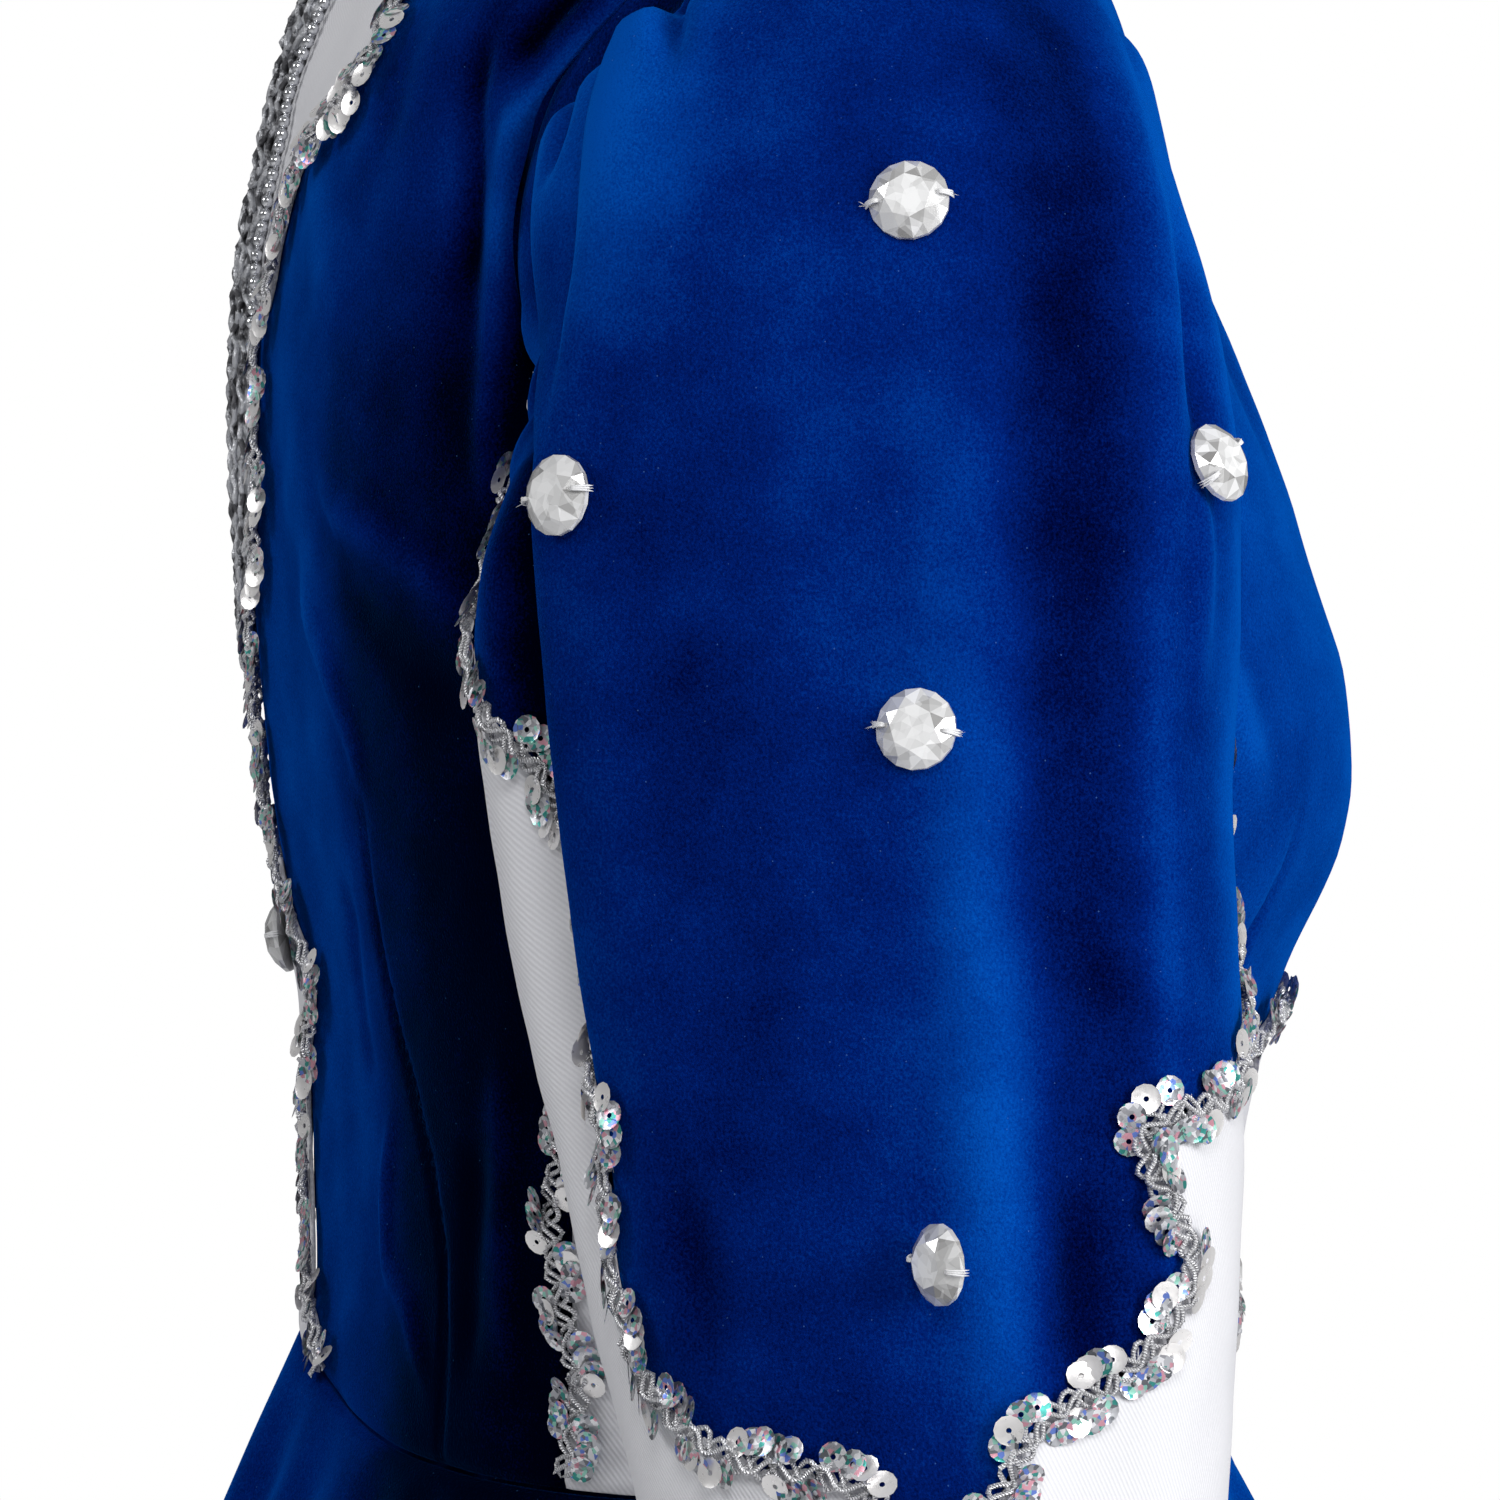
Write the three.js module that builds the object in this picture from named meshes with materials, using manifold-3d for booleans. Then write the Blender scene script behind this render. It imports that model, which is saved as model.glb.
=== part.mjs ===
// Color guard dress: a fitted velvet bodice with white twill insets, full gathered sleeves whose
// lower halves are twill, a short flared skirt, silver sequin braid and sewn-on rhinestones.
//
// Millimetres. The wearer faces -Y, the wearer's left is +X, +Z is up, and the origin lies between
// the shoulders, where the dress hangs. Every cloth piece is cut flat from a gridded slab, whose two
// flat coordinates are millimetres on the cloth, and is then wrapped round the form that it covers.

import * as THREE from 'three';
import Module from 'manifold-3d';

const wasm = await Module();
wasm.setup();

// ---- Driving dimensions -------------------------------------------------------------------------

const CLOTH_WALL = 1.8;
const INSET_WALL = 1.0;
const SEAM_GAP = 0.6;
const LAYER_GAP = 0.4;
const BRAID_WIDTH = 10;
const BRAID_WALL = 1.6;
const BEAD_WIDTH = 3;
const BAND_WALL = 2.4;
const STONE_RADIUS = 8;
const STONE_HEIGHT = 4.2;
const STONE_TABLE = 4.6;
const STONE_SIDES = 8;
const STONE_LIFT = 0.6;
const OVER_INSET = 2 * LAYER_GAP + INSET_WALL;
const WAIST_STONE_RING = 3.9;
const BACK_STONE_RING = 1.3;
const BACK_STONE_X = 16;
const HEM_Z = -690;
const SKIRT_FLARE = 25;
const HEM_FOLDS = 12;
const HEM_FOLD_DEPTH = 14;
const WAIST_PEAK = 26;
const WAIST_PEAK_SPREAD = 38;
const FRONT_RIDGE = 8;
const FRONT_RIDGE_SPREAD = 32;
const BACK_HOLLOW = 7;
const BACK_HOLLOW_SPREAD = 26;
const HEAD_GATHERS = 12;
const HEAD_GATHER_DEPTH = 3.4;

// One row for each ring of the bodice, from the waist seam up to the neck edge. The z columns give
// the ring's height at the front, side and back, half is its half-width, front and back are its
// depths from the middle, and round is the exponent of its superellipse.
const BODICE = table(['zFront', 'zSide', 'zBack', 'half', 'front', 'back', 'round'], [
  [-349, -356, -346, 131, 100, 105, 0.92],
  [-318, -328, -322, 133, 97.5, 106, 0.92],
  [-290, -297, -295, 137, 98, 108, 0.92],
  [-262, -266, -268, 143, 99.5, 112, 0.92],
  [-236, -238, -244, 149, 102.5, 120, 0.9],
  [-210, -212, -216, 154, 107, 132, 0.88],
  [-182, -184, -188, 158, 110, 133, 0.86],
  [-152, -153, -156, 160, 112, 124, 0.84],
  [-124, -121, -122, 161, 113.5, 112, 0.83],
  [-98, -86, -88, 163, 112.5, 98, 0.83],
  [-78, -52, -58, 166, 110, 88, 0.84],
  [-62, -28, -34, 166, 107, 80, 0.88],
  [-48, -11, -15, 138, 103.5, 74, 0.93],
  [-34, 6, 0, 106, 99.5, 69, 1],
  [-20, 22, 14, 76, 94, 64, 1],
]);

// Seams of the bodice by ring: the side panel lies between these two angles from the centre front.
const BODICE_SEAMS = table(['ring', 'frontEdge', 'backEdge'], [
  [0, 66, 115],
  [4, 68, 112],
  [7, 74, 108],
  [8.6, 79, 104],
  [9.4, 90, 90],
  [14, 90, 90],
]);

// The armhole, by its place in y and by bodice ring.
const ARMHOLE = { middle: 11, half: 59, lean: 7, ring: 9.05, ringHalf: 2.0, points: 24 };

// One row for each ring of the left sleeve after the armhole seam, down to the wrist. A ring runs
// between an outer and an inner point in x and z, with its reach in y to the front and the back.
const SLEEVE = table(['xOuter', 'zOuter', 'xInner', 'zInner', 'front', 'back', 'lean', 'round'], [
  [193, -17, 169, -166, -40, 73, 9, 0.97],
  [226, -21, 173, -177, -42, 82, 6, 0.97],
  [257, -42, 175, -190, -45, 90, 2, 0.93],
  [280, -77, 177, -205, -50, 96.5, 1, 0.88],
  [293, -119, 178, -224, -56, 98, 0, 0.82],
  [299, -163, 179, -247, -53, 96, 0, 0.82],
  [302, -207, 181, -272, -47, 97, 0, 0.82],
  [304, -249, 186, -298, -39, 98, 0, 0.83],
  [306, -290, 194, -324, -32, 96.5, 0, 0.84],
  [308, -331, 203, -353, -23, 94.5, 0, 0.86],
  [311, -372, 213, -386, -15, 91, 0, 0.88],
  [317, -416, 228, -426, -9, 84, 0, 0.9],
  [326, -464, 245, -471, -3, 74, 0, 0.92],
  [335, -513, 262, -518, 2, 65, 0, 0.95],
  [342, -556, 276, -559, 7, 58, 0, 1],
  [347, -590, 286, -592, 9, 54, 0, 1],
]);

// The largest lengthwise folds of the sleeve: the angle from the outer side towards the front where
// each trough starts and ends, its depth and half-width, and the rings between which it runs.
const SLEEVE_FOLDS = table(['turnTop', 'turnEnd', 'depth', 'width', 'from', 'to'], [
  [59, 72, 11, 10, 3.2, 9.6],
  [-66, -74, 5, 9, 1.5, 6],
  [142, 150, 6, 14, 3, 10],
  [-148, -140, 6, 13, 4, 11],
]);

// Edge between the velvet and the twill of the sleeve: angle from the outer side towards the front
// and sleeve ring, from the armhole seam in front, round the tongue, to the armhole seam at the back.
const SLEEVE_EDGE = table(['turn', 'ring'], [
  [117, 0],
  [117, 1],
  [113, 2.2],
  [104, 3.3],
  [96, 4.3],
  [90, 5],
  [84, 5.6],
  [78, 5.95],
  [71, 6.35],
  [68, 6.9],
  [69, 7.5],
  [66, 7.85],
  [60, 8.08],
  [57, 8.27],
  [58, 8.45],
  [61, 8.62],
  [63, 8.8],
  [63, 9],
  [62, 9.25],
  [61.5, 9.45],
  [58, 9.62],
  [53, 9.76],
  [46, 9.89],
  [38, 10.01],
  [30, 10.07],
  [22, 10.1],
  [14, 10.16],
  [8, 10.32],
  [1, 10.95],
  [-6, 10.4],
  [-10, 10.14],
  [-13.5, 9.95],
  [-20, 9.8],
  [-30, 9.7],
  [-38.5, 9.53],
  [-45, 9.36],
  [-49.5, 9.16],
  [-50, 8.96],
  [-46, 8.79],
  [-41.5, 8.65],
  [-39.5, 8.49],
  [-42, 8.35],
  [-49, 8.27],
  [-60, 8.16],
  [-71.5, 7.88],
  [-82, 7.55],
  [-92, 7.15],
  [-101, 6.55],
  [-109, 5.6],
  [-114, 4.4],
  [-116.5, 2.8],
  [-117, 1],
  [-117, 0],
]);

// Rhinestones of the sleeve: angle from the outer side towards the front, sleeve ring, and how far
// the flat back of the stone stands off the cloth at its middle.
const SLEEVE_STONES = table(['turn', 'ring', 'lift'], [
  [-4, 4.35, 0.9],
  [44, 5.4, 1.5],
  [-59.5, 5, 0.6],
  [-4, 6.7, 0.6],
  [-2.5, 9.15, 0.6],
]);

// White plastron of the chest and lobe of the waist: half-widths by bodice ring.
const CHEST_INSET = table(['ring', 'half'], [
  [14, 78],
  [13, 88],
  [12, 97],
  [11.4, 107],
  [10.95, 111],
  [10.72, 104],
  [10.52, 88],
  [10.36, 71],
  [10.15, 56],
  [9.7, 47],
  [9.2, 43],
  [8.9, 36],
]);
const WAIST_INSET = table(['ring', 'half'], [
  [4.75, 6],
  [4.4, 9],
  [4.1, 14.5],
  [3.8, 22],
  [3.5, 25.5],
  [3.1, 20.5],
  [2.8, 13.5],
  [2.5, 7.5],
  [2.1, 3.5],
  [1.6, 3],
  [1.2, 3.8],
  [0.8, 7.5],
  [0.55, 16.5],
  [0.3, 21.5],
  [0, 24.5],
]);
const WAIST_INSET_DIP = 0.2;
const BACK_INSET = table(['ring', 'half'], [
  [3.72, 3],
  [3.68, 20],
  [3.55, 40],
  [3.25, 56],
  [2.75, 65],
  [2.2, 67],
  [1.7, 61],
  [1.3, 49],
  [1, 34],
  [0.8, 16],
  [0.72, 3],
]);

// Silver lace band on the centre front, with a bead chain on each edge.
const CENTRE_BAND = table(['ring', 'half'], [
  [14, 27],
  [12, 28],
  [10, 28],
  [8.8, 28],
  [7.4, 24],
  [6.7, 13.5],
  [6.1, 5],
]);

// Braid of the front, down the chest inset, along the band and round the lobe of the waist.
const FRONT_BRAID = table(['ring', 'offset'], [
  [13.95, 82],
  [13, 92],
  [12, 101],
  [11.4, 111],
  [10.9, 116],
  [10.6, 108],
  [10.4, 92],
  [10.25, 75],
  [10.05, 60],
  [9.7, 52],
  [9.2, 48],
  [8.7, 38],
  [8.2, 34],
  [7.4, 31],
  [6.8, 24],
  [6.4, 17.5],
  [5.9, 13],
  [5.4, 10],
  [4.9, 10],
  [4.4, 13],
  [4.1, 19],
  [3.8, 27],
  [3.5, 30],
  [3.1, 25],
  [2.8, 18],
  [2.5, 12],
  [2.1, 7.5],
  [1.6, 7],
  [1.2, 8],
  [0.8, 12],
  [0.55, 21],
  [0.3, 26],
  [0.06, 29],
]);

const VELVET = { color: 0x0b2fa0, roughness: 0.85, metalness: 0 };
const TWILL = { color: 0xe8eaf0, roughness: 0.8, metalness: 0 };
const BRAID = { color: 0xc4c6cc, roughness: 0.3, metalness: 0.9 };
const LACE = { color: 0x9a9da4, roughness: 0.4, metalness: 0.8 };
const STONE = { color: 0xf2f6fa, roughness: 0.05, metalness: 0 };

// ---- Tables and curves --------------------------------------------------------------------------

function table(columns, rows) {
  return { columns, rows };
}

function curveThrough(before, from, to, after, part) {
  const slopeFrom = (to - before) / 2;
  const slopeTo = (after - from) / 2;
  const rise = to - from;
  const cubic = slopeFrom + slopeTo - 2 * rise;
  const square = 3 * rise - 2 * slopeFrom - slopeTo;
  return from + part * (slopeFrom + part * (square + part * cubic));
}

// A smooth curve through equally spaced rows, whose ends run on straight.
function rowAt({ columns, rows }, position) {
  const last = rows.length - 1;
  const from = Math.min(Math.max(Math.floor(position), 0), last - 1);
  const row = {};
  columns.forEach((name, column) => {
    const value = (index) => {
      if (index < 0) return 2 * rows[0][column] - rows[1][column];
      if (index > last) return 2 * rows[last][column] - rows[last - 1][column];
      return rows[index][column];
    };
    const near = [from - 1, from, from + 1, from + 2].map(value);
    row[name] = curveThrough(...near, position - from);
  });
  return row;
}

// Straight lines between rows, looked up by the first column, which rises or falls all the way.
function lookUp({ rows }, key, column) {
  const rising = rows[rows.length - 1][0] > rows[0][0];
  const sorted = rising ? rows : [...rows].reverse();
  const next = sorted.findIndex((row) => row[0] >= key);
  if (next === -1) return sorted[sorted.length - 1][column];
  if (next === 0) return sorted[0][column];
  const [low, high] = [sorted[next - 1], sorted[next]];
  return THREE.MathUtils.mapLinear(key, low[0], high[0], low[column], high[column]);
}

// A table's rows as a smooth polyline with the given number of steps between rows.
function smoothLine(source, steps) {
  const line = [];
  for (let row = 0; row < source.rows.length - 1; row += 1) {
    for (let step = 0; step < steps; step += 1) {
      line.push(Object.values(rowAt(source, row + step / steps)));
    }
  }
  line.push([...source.rows[source.rows.length - 1]]);
  return line;
}

const degrees = THREE.MathUtils.radToDeg;
const radians = THREE.MathUtils.degToRad;

function roundedPower(value, exponent) {
  return Math.sign(value) * Math.abs(value) ** exponent;
}

function bell(offset, width) {
  return Math.exp(-((offset / width) ** 2));
}

// 1 over the run of a fold from low to high, with soft ends.
function overRun(value, low, high) {
  const start = THREE.MathUtils.smoothstep(value, low, low + 1.5);
  const end = THREE.MathUtils.smoothstep(value, high - 2, high);
  return start * (1 - end);
}

// ---- Forms that the cloth covers ----------------------------------------------------------------

// The bodice by the angle round it from the centre front towards the left side, and by ring. A soft
// ridge runs down the centre front, and the waist seam rises to a peak there. A soft hollow runs
// down the centre back.
function bodicePoint(around, ring) {
  const row = rowAt(BODICE, ring);
  const facing = Math.cos(around);
  const inFront = facing > 0;
  const depth = inFront ? row.front - FRONT_RIDGE : row.back + BACK_HOLLOW / 3;
  const zMiddle = inFront ? row.zFront : row.zBack;
  const x = row.half * roundedPower(Math.sin(around), row.round);
  const [height, spread] = inFront ? [FRONT_RIDGE, FRONT_RIDGE_SPREAD] : [BACK_HOLLOW, BACK_HOLLOW_SPREAD];
  const y = -depth * roundedPower(facing, row.round) - height * bell(x, spread);
  const peak = inFront ? WAIST_PEAK * Math.exp(-Math.abs(x) / WAIST_PEAK_SPREAD) : 0;
  const z = row.zSide + (zMiddle - row.zSide) * facing ** 2 + peak * Math.max(0, 1 - ring);
  return new THREE.Vector3(x, y, z);
}

// The angle at which the bodice has the given offset in x, in front or at the back.
function aroundAtX(x, ring, atBack = false) {
  const row = rowAt(BODICE, ring);
  const angle = Math.asin(Math.min(1, (Math.abs(x) / row.half) ** (1 / row.round))) * Math.sign(x);
  return atBack ? Math.PI - angle : angle;
}

function armholeSpot(turn) {
  const ring = ARMHOLE.ring + ARMHOLE.ringHalf * Math.cos(turn);
  const y = ARMHOLE.middle - ARMHOLE.half * Math.sin(turn) + ARMHOLE.lean * Math.cos(turn);
  const row = rowAt(BODICE, ring);
  const depth = y < 0 ? row.front - FRONT_RIDGE : row.back + BACK_HOLLOW / 3;
  return { around: Math.acos(-roundedPower(y / depth, 1 / row.round)), ring };
}

// One ring of the left sleeve by the angle from its outer side towards the front.
function sleeveRing(index, turn) {
  if (index <= 0) {
    const spot = armholeSpot(turn);
    return bodicePoint(spot.around, spot.ring);
  }
  const row = rowAt(SLEEVE, index - 1);
  const outward = roundedPower(Math.cos(turn), row.round);
  const forward = roundedPower(Math.sin(turn), row.round);
  const reach = new THREE.Vector3((row.xOuter - row.xInner) / 2, row.lean, (row.zOuter - row.zInner) / 2);
  const point = middleOf(row).addScaledVector(reach, outward);
  point.y -= ((row.back - row.front) / 2) * forward;
  return point;
}

function middleOf(row) {
  const [x, y, z] = [row.xOuter + row.xInner, row.front + row.back, row.zOuter + row.zInner];
  return new THREE.Vector3(x / 2, y / 2, z / 2);
}

function sleeveRelief(turn, along) {
  const turnDegrees = degrees(turn);
  let relief = 0;
  for (const [turnTop, turnEnd, depth, width, from, to] of SLEEVE_FOLDS.rows) {
    const place = THREE.MathUtils.mapLinear(along, from, to, turnTop, turnEnd);
    relief -= depth * bell(turnDegrees - place, width) * overRun(along, from, to);
  }
  const rise = THREE.MathUtils.smoothstep(along, 0, 0.5);
  const fade = 1 - THREE.MathUtils.smoothstep(along, 0.6, 2.6);
  return relief + HEAD_GATHER_DEPTH * rise * fade * Math.cos(HEAD_GATHERS * turn);
}

function sleevePoint(turn, along) {
  const last = SLEEVE.rows.length;
  const from = Math.min(Math.max(Math.floor(along), 0), last - 1);
  const indices = [from - 1, from, from + 1, from + 2].map((index) => Math.min(Math.max(index, 0), last));
  const rings = indices.map((index) => sleeveRing(index, turn));
  const point = new THREE.Vector3(...['x', 'y', 'z'].map(
    (axis) => curveThrough(...rings.map((ring) => ring[axis]), along - from),
  ));
  const middle = middleOf(rowAt(SLEEVE, Math.max(along, 0.5) - 1));
  const outward = point.clone().sub(middle).normalize();
  return point.addScaledVector(outward, sleeveRelief(turn, along));
}

// The skirt by the angle round it and by its fall from the waist seam, 1, to the hem, 0.
function skirtPoint(around, rise) {
  const top = bodicePoint(around, 0);
  const row = rowAt(BODICE, 0);
  const outward = new THREE.Vector2(top.x / row.half ** 2, top.y / row.front ** 2).normalize();
  const drop = 1 - rise;
  const z = THREE.MathUtils.lerp(top.z - SEAM_GAP, HEM_Z, drop);
  const flare = Math.tan(radians(SKIRT_FLARE - 2 * Math.cos(around) - 0.5 * Math.cos(2 * around)));
  const wander = 0.9 * Math.sin(2 * around + 0.5) + 0.6 * Math.sin(5 * around);
  const fold = HEM_FOLD_DEPTH * (1 + 0.3 * Math.sin(3 * around)) * Math.cos(HEM_FOLDS * around + wander);
  const reach = (top.z - z) * flare + fold * drop ** 1.3;
  return new THREE.Vector3(top.x + outward.x * reach, top.y + outward.y * reach, z);
}

// ---- Cutting flat and wrapping ------------------------------------------------------------------

// A form's grid: its point function, the two lists of parameters, and how many flat millimetres one
// unit of each parameter is.
function formGrid(point, columns, rows, scale) {
  const points = rows.map((row) => columns.map((column) => point(column, row)));
  const normals = points.map((line, j) => line.map((_, i) => {
    const across = points[j][Math.min(i + 1, columns.length - 1)].clone().sub(points[j][Math.max(i - 1, 0)]);
    const along = points[Math.min(j + 1, rows.length - 1)][i].clone().sub(points[Math.max(j - 1, 0)][i]);
    return across.cross(along).normalize();
  }));
  return { smooth: point, points, normals, columns, rows, scale };
}

function cellOf(values, value) {
  let cell = 0;
  while (cell < values.length - 2 && value > values[cell + 1]) cell += 1;
  return [cell, (value - values[cell]) / (values[cell + 1] - values[cell])];
}

// The corners of the facet under a place in a cell, with their weights. Cells on the wearer's right
// are split along the other diagonal, so that both sides of a form mirror each other.
function cornersOf(i, j, part, share, isRight, low) {
  if (isRight && low) return [[j, i, 1 - part - share], [j, i + 1, part], [j + 1, i, share]];
  if (isRight) return [[j + 1, i + 1, part + share - 1], [j, i + 1, 1 - share], [j + 1, i, 1 - part]];
  if (low) return [[j, i, 1 - share], [j + 1, i + 1, part], [j + 1, i, share - part]];
  return [[j, i, 1 - part], [j, i + 1, part - share], [j + 1, i + 1, share]];
}

// The point on the facets of a form, and the blended normal there.
function onForm(form, column, row) {
  const [i, part] = cellOf(form.columns, column);
  const [j, share] = cellOf(form.rows, row);
  const isRight = form.columns[i] < 0;
  const low = isRight ? part + share < 1 : share > part;
  const corners = cornersOf(i, j, part, share, isRight, low);
  const point = new THREE.Vector3();
  const normal = new THREE.Vector3();
  for (const [line, place, weight] of corners) {
    point.addScaledVector(form.points[line][place], weight);
    normal.addScaledVector(form.normals[line][place], weight);
  }
  return { point, normal: normal.normalize() };
}

// The flat slab bulges a little, so that no two facets lie in one plane and all of them are kept.
const SLAB_WALL = 10;
const SLAB_BULGE = 0.002;
const PRISM_TOP = 3000;
const PRISM_BOTTOM = -1000;

function slabHeight(u, v) {
  return SLAB_BULGE * (u * u + v * v + u * v);
}

// A closed wall between two grids of corners; isRight says which cells split the other way.
function closedWall(outer, inner, place, isRight = () => false) {
  const rows = outer.length;
  const columns = outer[0].length;
  const positions = [...outer.flat(), ...inner.flat()].flatMap(place);
  const at = (j, i, side) => side * rows * columns + j * columns + i;
  const faces = [];
  const quad = (a, b, c, d) => faces.push(a, b, c, a, c, d);
  for (let j = 0; j < rows - 1; j += 1) {
    for (let i = 0; i < columns - 1; i += 1) {
      const cell = [[j, i], [j, i + 1], [j + 1, i + 1], [j + 1, i]];
      const [a, b, c, d] = cell.map((corner) => at(...corner, 0));
      const [e, f, g, h] = cell.map((corner) => at(...corner, 1));
      if (isRight(i)) faces.push(a, b, d, b, c, d, e, h, f, f, h, g);
      else faces.push(a, b, c, a, c, d, e, g, f, e, h, g);
    }
  }
  for (let i = 0; i < columns - 1; i += 1) {
    quad(at(0, i + 1, 0), at(0, i, 0), at(0, i, 1), at(0, i + 1, 1));
    quad(at(rows - 1, i, 0), at(rows - 1, i + 1, 0), at(rows - 1, i + 1, 1), at(rows - 1, i, 1));
  }
  for (let j = 0; j < rows - 1; j += 1) {
    quad(at(j, 0, 0), at(j + 1, 0, 0), at(j + 1, 0, 1), at(j, 0, 1));
    quad(at(j + 1, columns - 1, 0), at(j, columns - 1, 0), at(j, columns - 1, 1), at(j + 1, columns - 1, 1));
  }
  return { positions, faces };
}

function manifoldOf({ positions, faces }) {
  return new wasm.Manifold(new wasm.Mesh({
    numProp: 3,
    vertProperties: new Float32Array(positions),
    triVerts: new Uint32Array(faces),
  }));
}

function flatSlab(form) {
  const [across, along] = form.scale;
  const flat = form.rows.map((row) => form.columns.map((column) => [column * across, row * along]));
  const up = flat.map((line) => line.map(([u, v]) => [u, v, slabHeight(u, v) + SLAB_WALL]));
  const down = flat.map((line) => line.map(([u, v]) => [u, v, slabHeight(u, v)]));
  return manifoldOf(closedWall(up, down, (corner) => corner, (i) => form.columns[i] < 0));
}

function toFlat(form, outline) {
  return outline.map(([column, row]) => [column * form.scale[0], row * form.scale[1]]);
}

function prism(outline) {
  const shape = new THREE.Shape(outline.map(([u, v]) => new THREE.Vector2(u, v)));
  const body = new THREE.ExtrudeGeometry(shape, { depth: PRISM_TOP - PRISM_BOTTOM, bevelEnabled: false });
  body.translate(0, 0, PRISM_BOTTOM);
  const seen = new Map();
  const positions = [];
  const faces = [];
  const source = body.getAttribute('position');
  for (let index = 0; index < source.count; index += 1) {
    const corner = [source.getX(index), source.getY(index), source.getZ(index)];
    const key = corner.map((value) => value.toFixed(4)).join(' ');
    if (!seen.has(key)) {
      seen.set(key, positions.length / 3);
      positions.push(...corner);
    }
    faces.push(seen.get(key));
  }
  return manifoldOf({ positions, faces });
}

// Cuts a piece from the form's flat slab and wraps it: keep is a flat solid, or an outline in the
// form's parameters as holes are, lift is its height over the form and wall is its thickness.
function cutPiece(form, { keep, holes = [], lift = 0, wall = CLOTH_WALL }) {
  const kept = Array.isArray(keep) ? prism(toFlat(form, keep)) : keep;
  let solid = flatSlab(form).intersect(kept);
  for (const hole of holes) solid = solid.subtract(prism(toFlat(form, hole)));
  const mesh = solid.getMesh();
  const positions = [];
  for (let vertex = 0; vertex < mesh.numVert; vertex += 1) {
    const [u, v, w] = mesh.vertProperties.slice(vertex * mesh.numProp, vertex * mesh.numProp + 3);
    const { point, normal } = onForm(form, u / form.scale[0], v / form.scale[1]);
    const isOuter = w - slabHeight(u, v) > SLAB_WALL / 2;
    const height = lift + (isOuter ? 0 : -wall) + (lift > 0 ? wall : 0);
    positions.push(...point.addScaledVector(normal, height));
  }
  return geometryOf(positions, [...mesh.triVerts]);
}

function geometryOf(positions, faces) {
  const geometry = new THREE.BufferGeometry();
  geometry.setAttribute('position', new THREE.Float32BufferAttribute(positions, 3));
  geometry.setIndex(faces);
  return geometry;
}

// The two sides of a strip along a line on a form, in flat millimetres: each side is the line moved
// sideways on the cloth by half the width.
function stripSides(form, line, width) {
  const step = 0.01;
  const sides = line.map(([column, row], index) => {
    const { point, normal } = onForm(form, column, row);
    const [before, after] = [line[Math.max(index - 1, 0)], line[Math.min(index + 1, line.length - 1)]];
    const forward = onForm(form, ...after).point.sub(onForm(form, ...before).point);
    const sideways = forward.cross(normal).normalize();
    const across = form.smooth(column + step, row).sub(form.smooth(column - step, row));
    const along = form.smooth(column, row + step).sub(form.smooth(column, row - step));
    across.divideScalar(2 * step);
    along.divideScalar(2 * step);
    const [aa, ab, bb] = [across.dot(across), across.dot(along), along.dot(along)];
    const [sa, sb] = [sideways.dot(across), sideways.dot(along)];
    const reach = width / 2 / (aa * bb - ab * ab);
    const move = [(sa * bb - sb * ab) * reach, (sb * aa - sa * ab) * reach];
    return [-1, 1].map((side) => [column + side * move[0], row + side * move[1]]);
  });
  return [0, 1].map((side) => toFlat(form, sides.map((pair) => pair[side])));
}

function strip(form, line, { width = BRAID_WIDTH, wall = BRAID_WALL, lift = LAYER_GAP }) {
  const sides = stripSides(form, line, width);
  const at = (height) => sides.map((side) => side.map(([u, v]) => [u, v, height]));
  const body = facingOut(closedWall(at(PRISM_TOP), at(PRISM_BOTTOM), (corner) => corner));
  return cutPiece(form, { keep: manifoldOf(body), lift, wall });
}

// Turns the faces of a closed mesh round if they point inwards.
function facingOut({ positions, faces }) {
  const corner = (index) => new THREE.Vector3().fromArray(positions, index * 3);
  let volume = 0;
  for (let face = 0; face < faces.length; face += 3) {
    const [a, b, c] = [0, 1, 2].map((step) => corner(faces[face + step]));
    volume += a.dot(b.cross(c));
  }
  if (volume < 0) faces.reverse();
  return { positions, faces };
}

// A faceted round stone: flat underneath, a straight girdle, and a crown up to its table.
function stone({ point, normal }, lift) {
  const base = point.clone().addScaledVector(normal, lift);
  const side = new THREE.Vector3(0, 0, 1).cross(normal).normalize();
  const upward = normal.clone().cross(side);
  const profile = [[STONE_RADIUS, 0], [STONE_RADIUS, STONE_HEIGHT * 0.3], [STONE_TABLE, STONE_HEIGHT]];
  const positions = [...base];
  for (const [radius, height] of profile) {
    for (let index = 0; index < STONE_SIDES; index += 1) {
      const angle = (2 * Math.PI * index) / STONE_SIDES;
      positions.push(...base.clone().addScaledVector(side, radius * Math.cos(angle))
        .addScaledVector(upward, radius * Math.sin(angle)).addScaledVector(normal, height));
    }
  }
  positions.push(...base.clone().addScaledVector(normal, STONE_HEIGHT));
  const top = positions.length / 3 - 1;
  const at = (ring, index) => 1 + ring * STONE_SIDES + (index % STONE_SIDES);
  const faces = [];
  for (let index = 0; index < STONE_SIDES; index += 1) {
    faces.push(0, at(0, index + 1), at(0, index), top, at(2, index), at(2, index + 1));
    for (let ring = 0; ring < 2; ring += 1) {
      faces.push(at(ring, index), at(ring, index + 1), at(ring + 1, index + 1));
      faces.push(at(ring, index), at(ring + 1, index + 1), at(ring + 1, index));
    }
  }
  facingOut({ positions, faces });
  return geometryOf(positions, faces);
}

// ---- Forms as grids -----------------------------------------------------------------------------

function evenly(low, high, count) {
  return Array.from({ length: count + 1 }, (_, index) => low + ((high - low) * index) / count);
}

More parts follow.
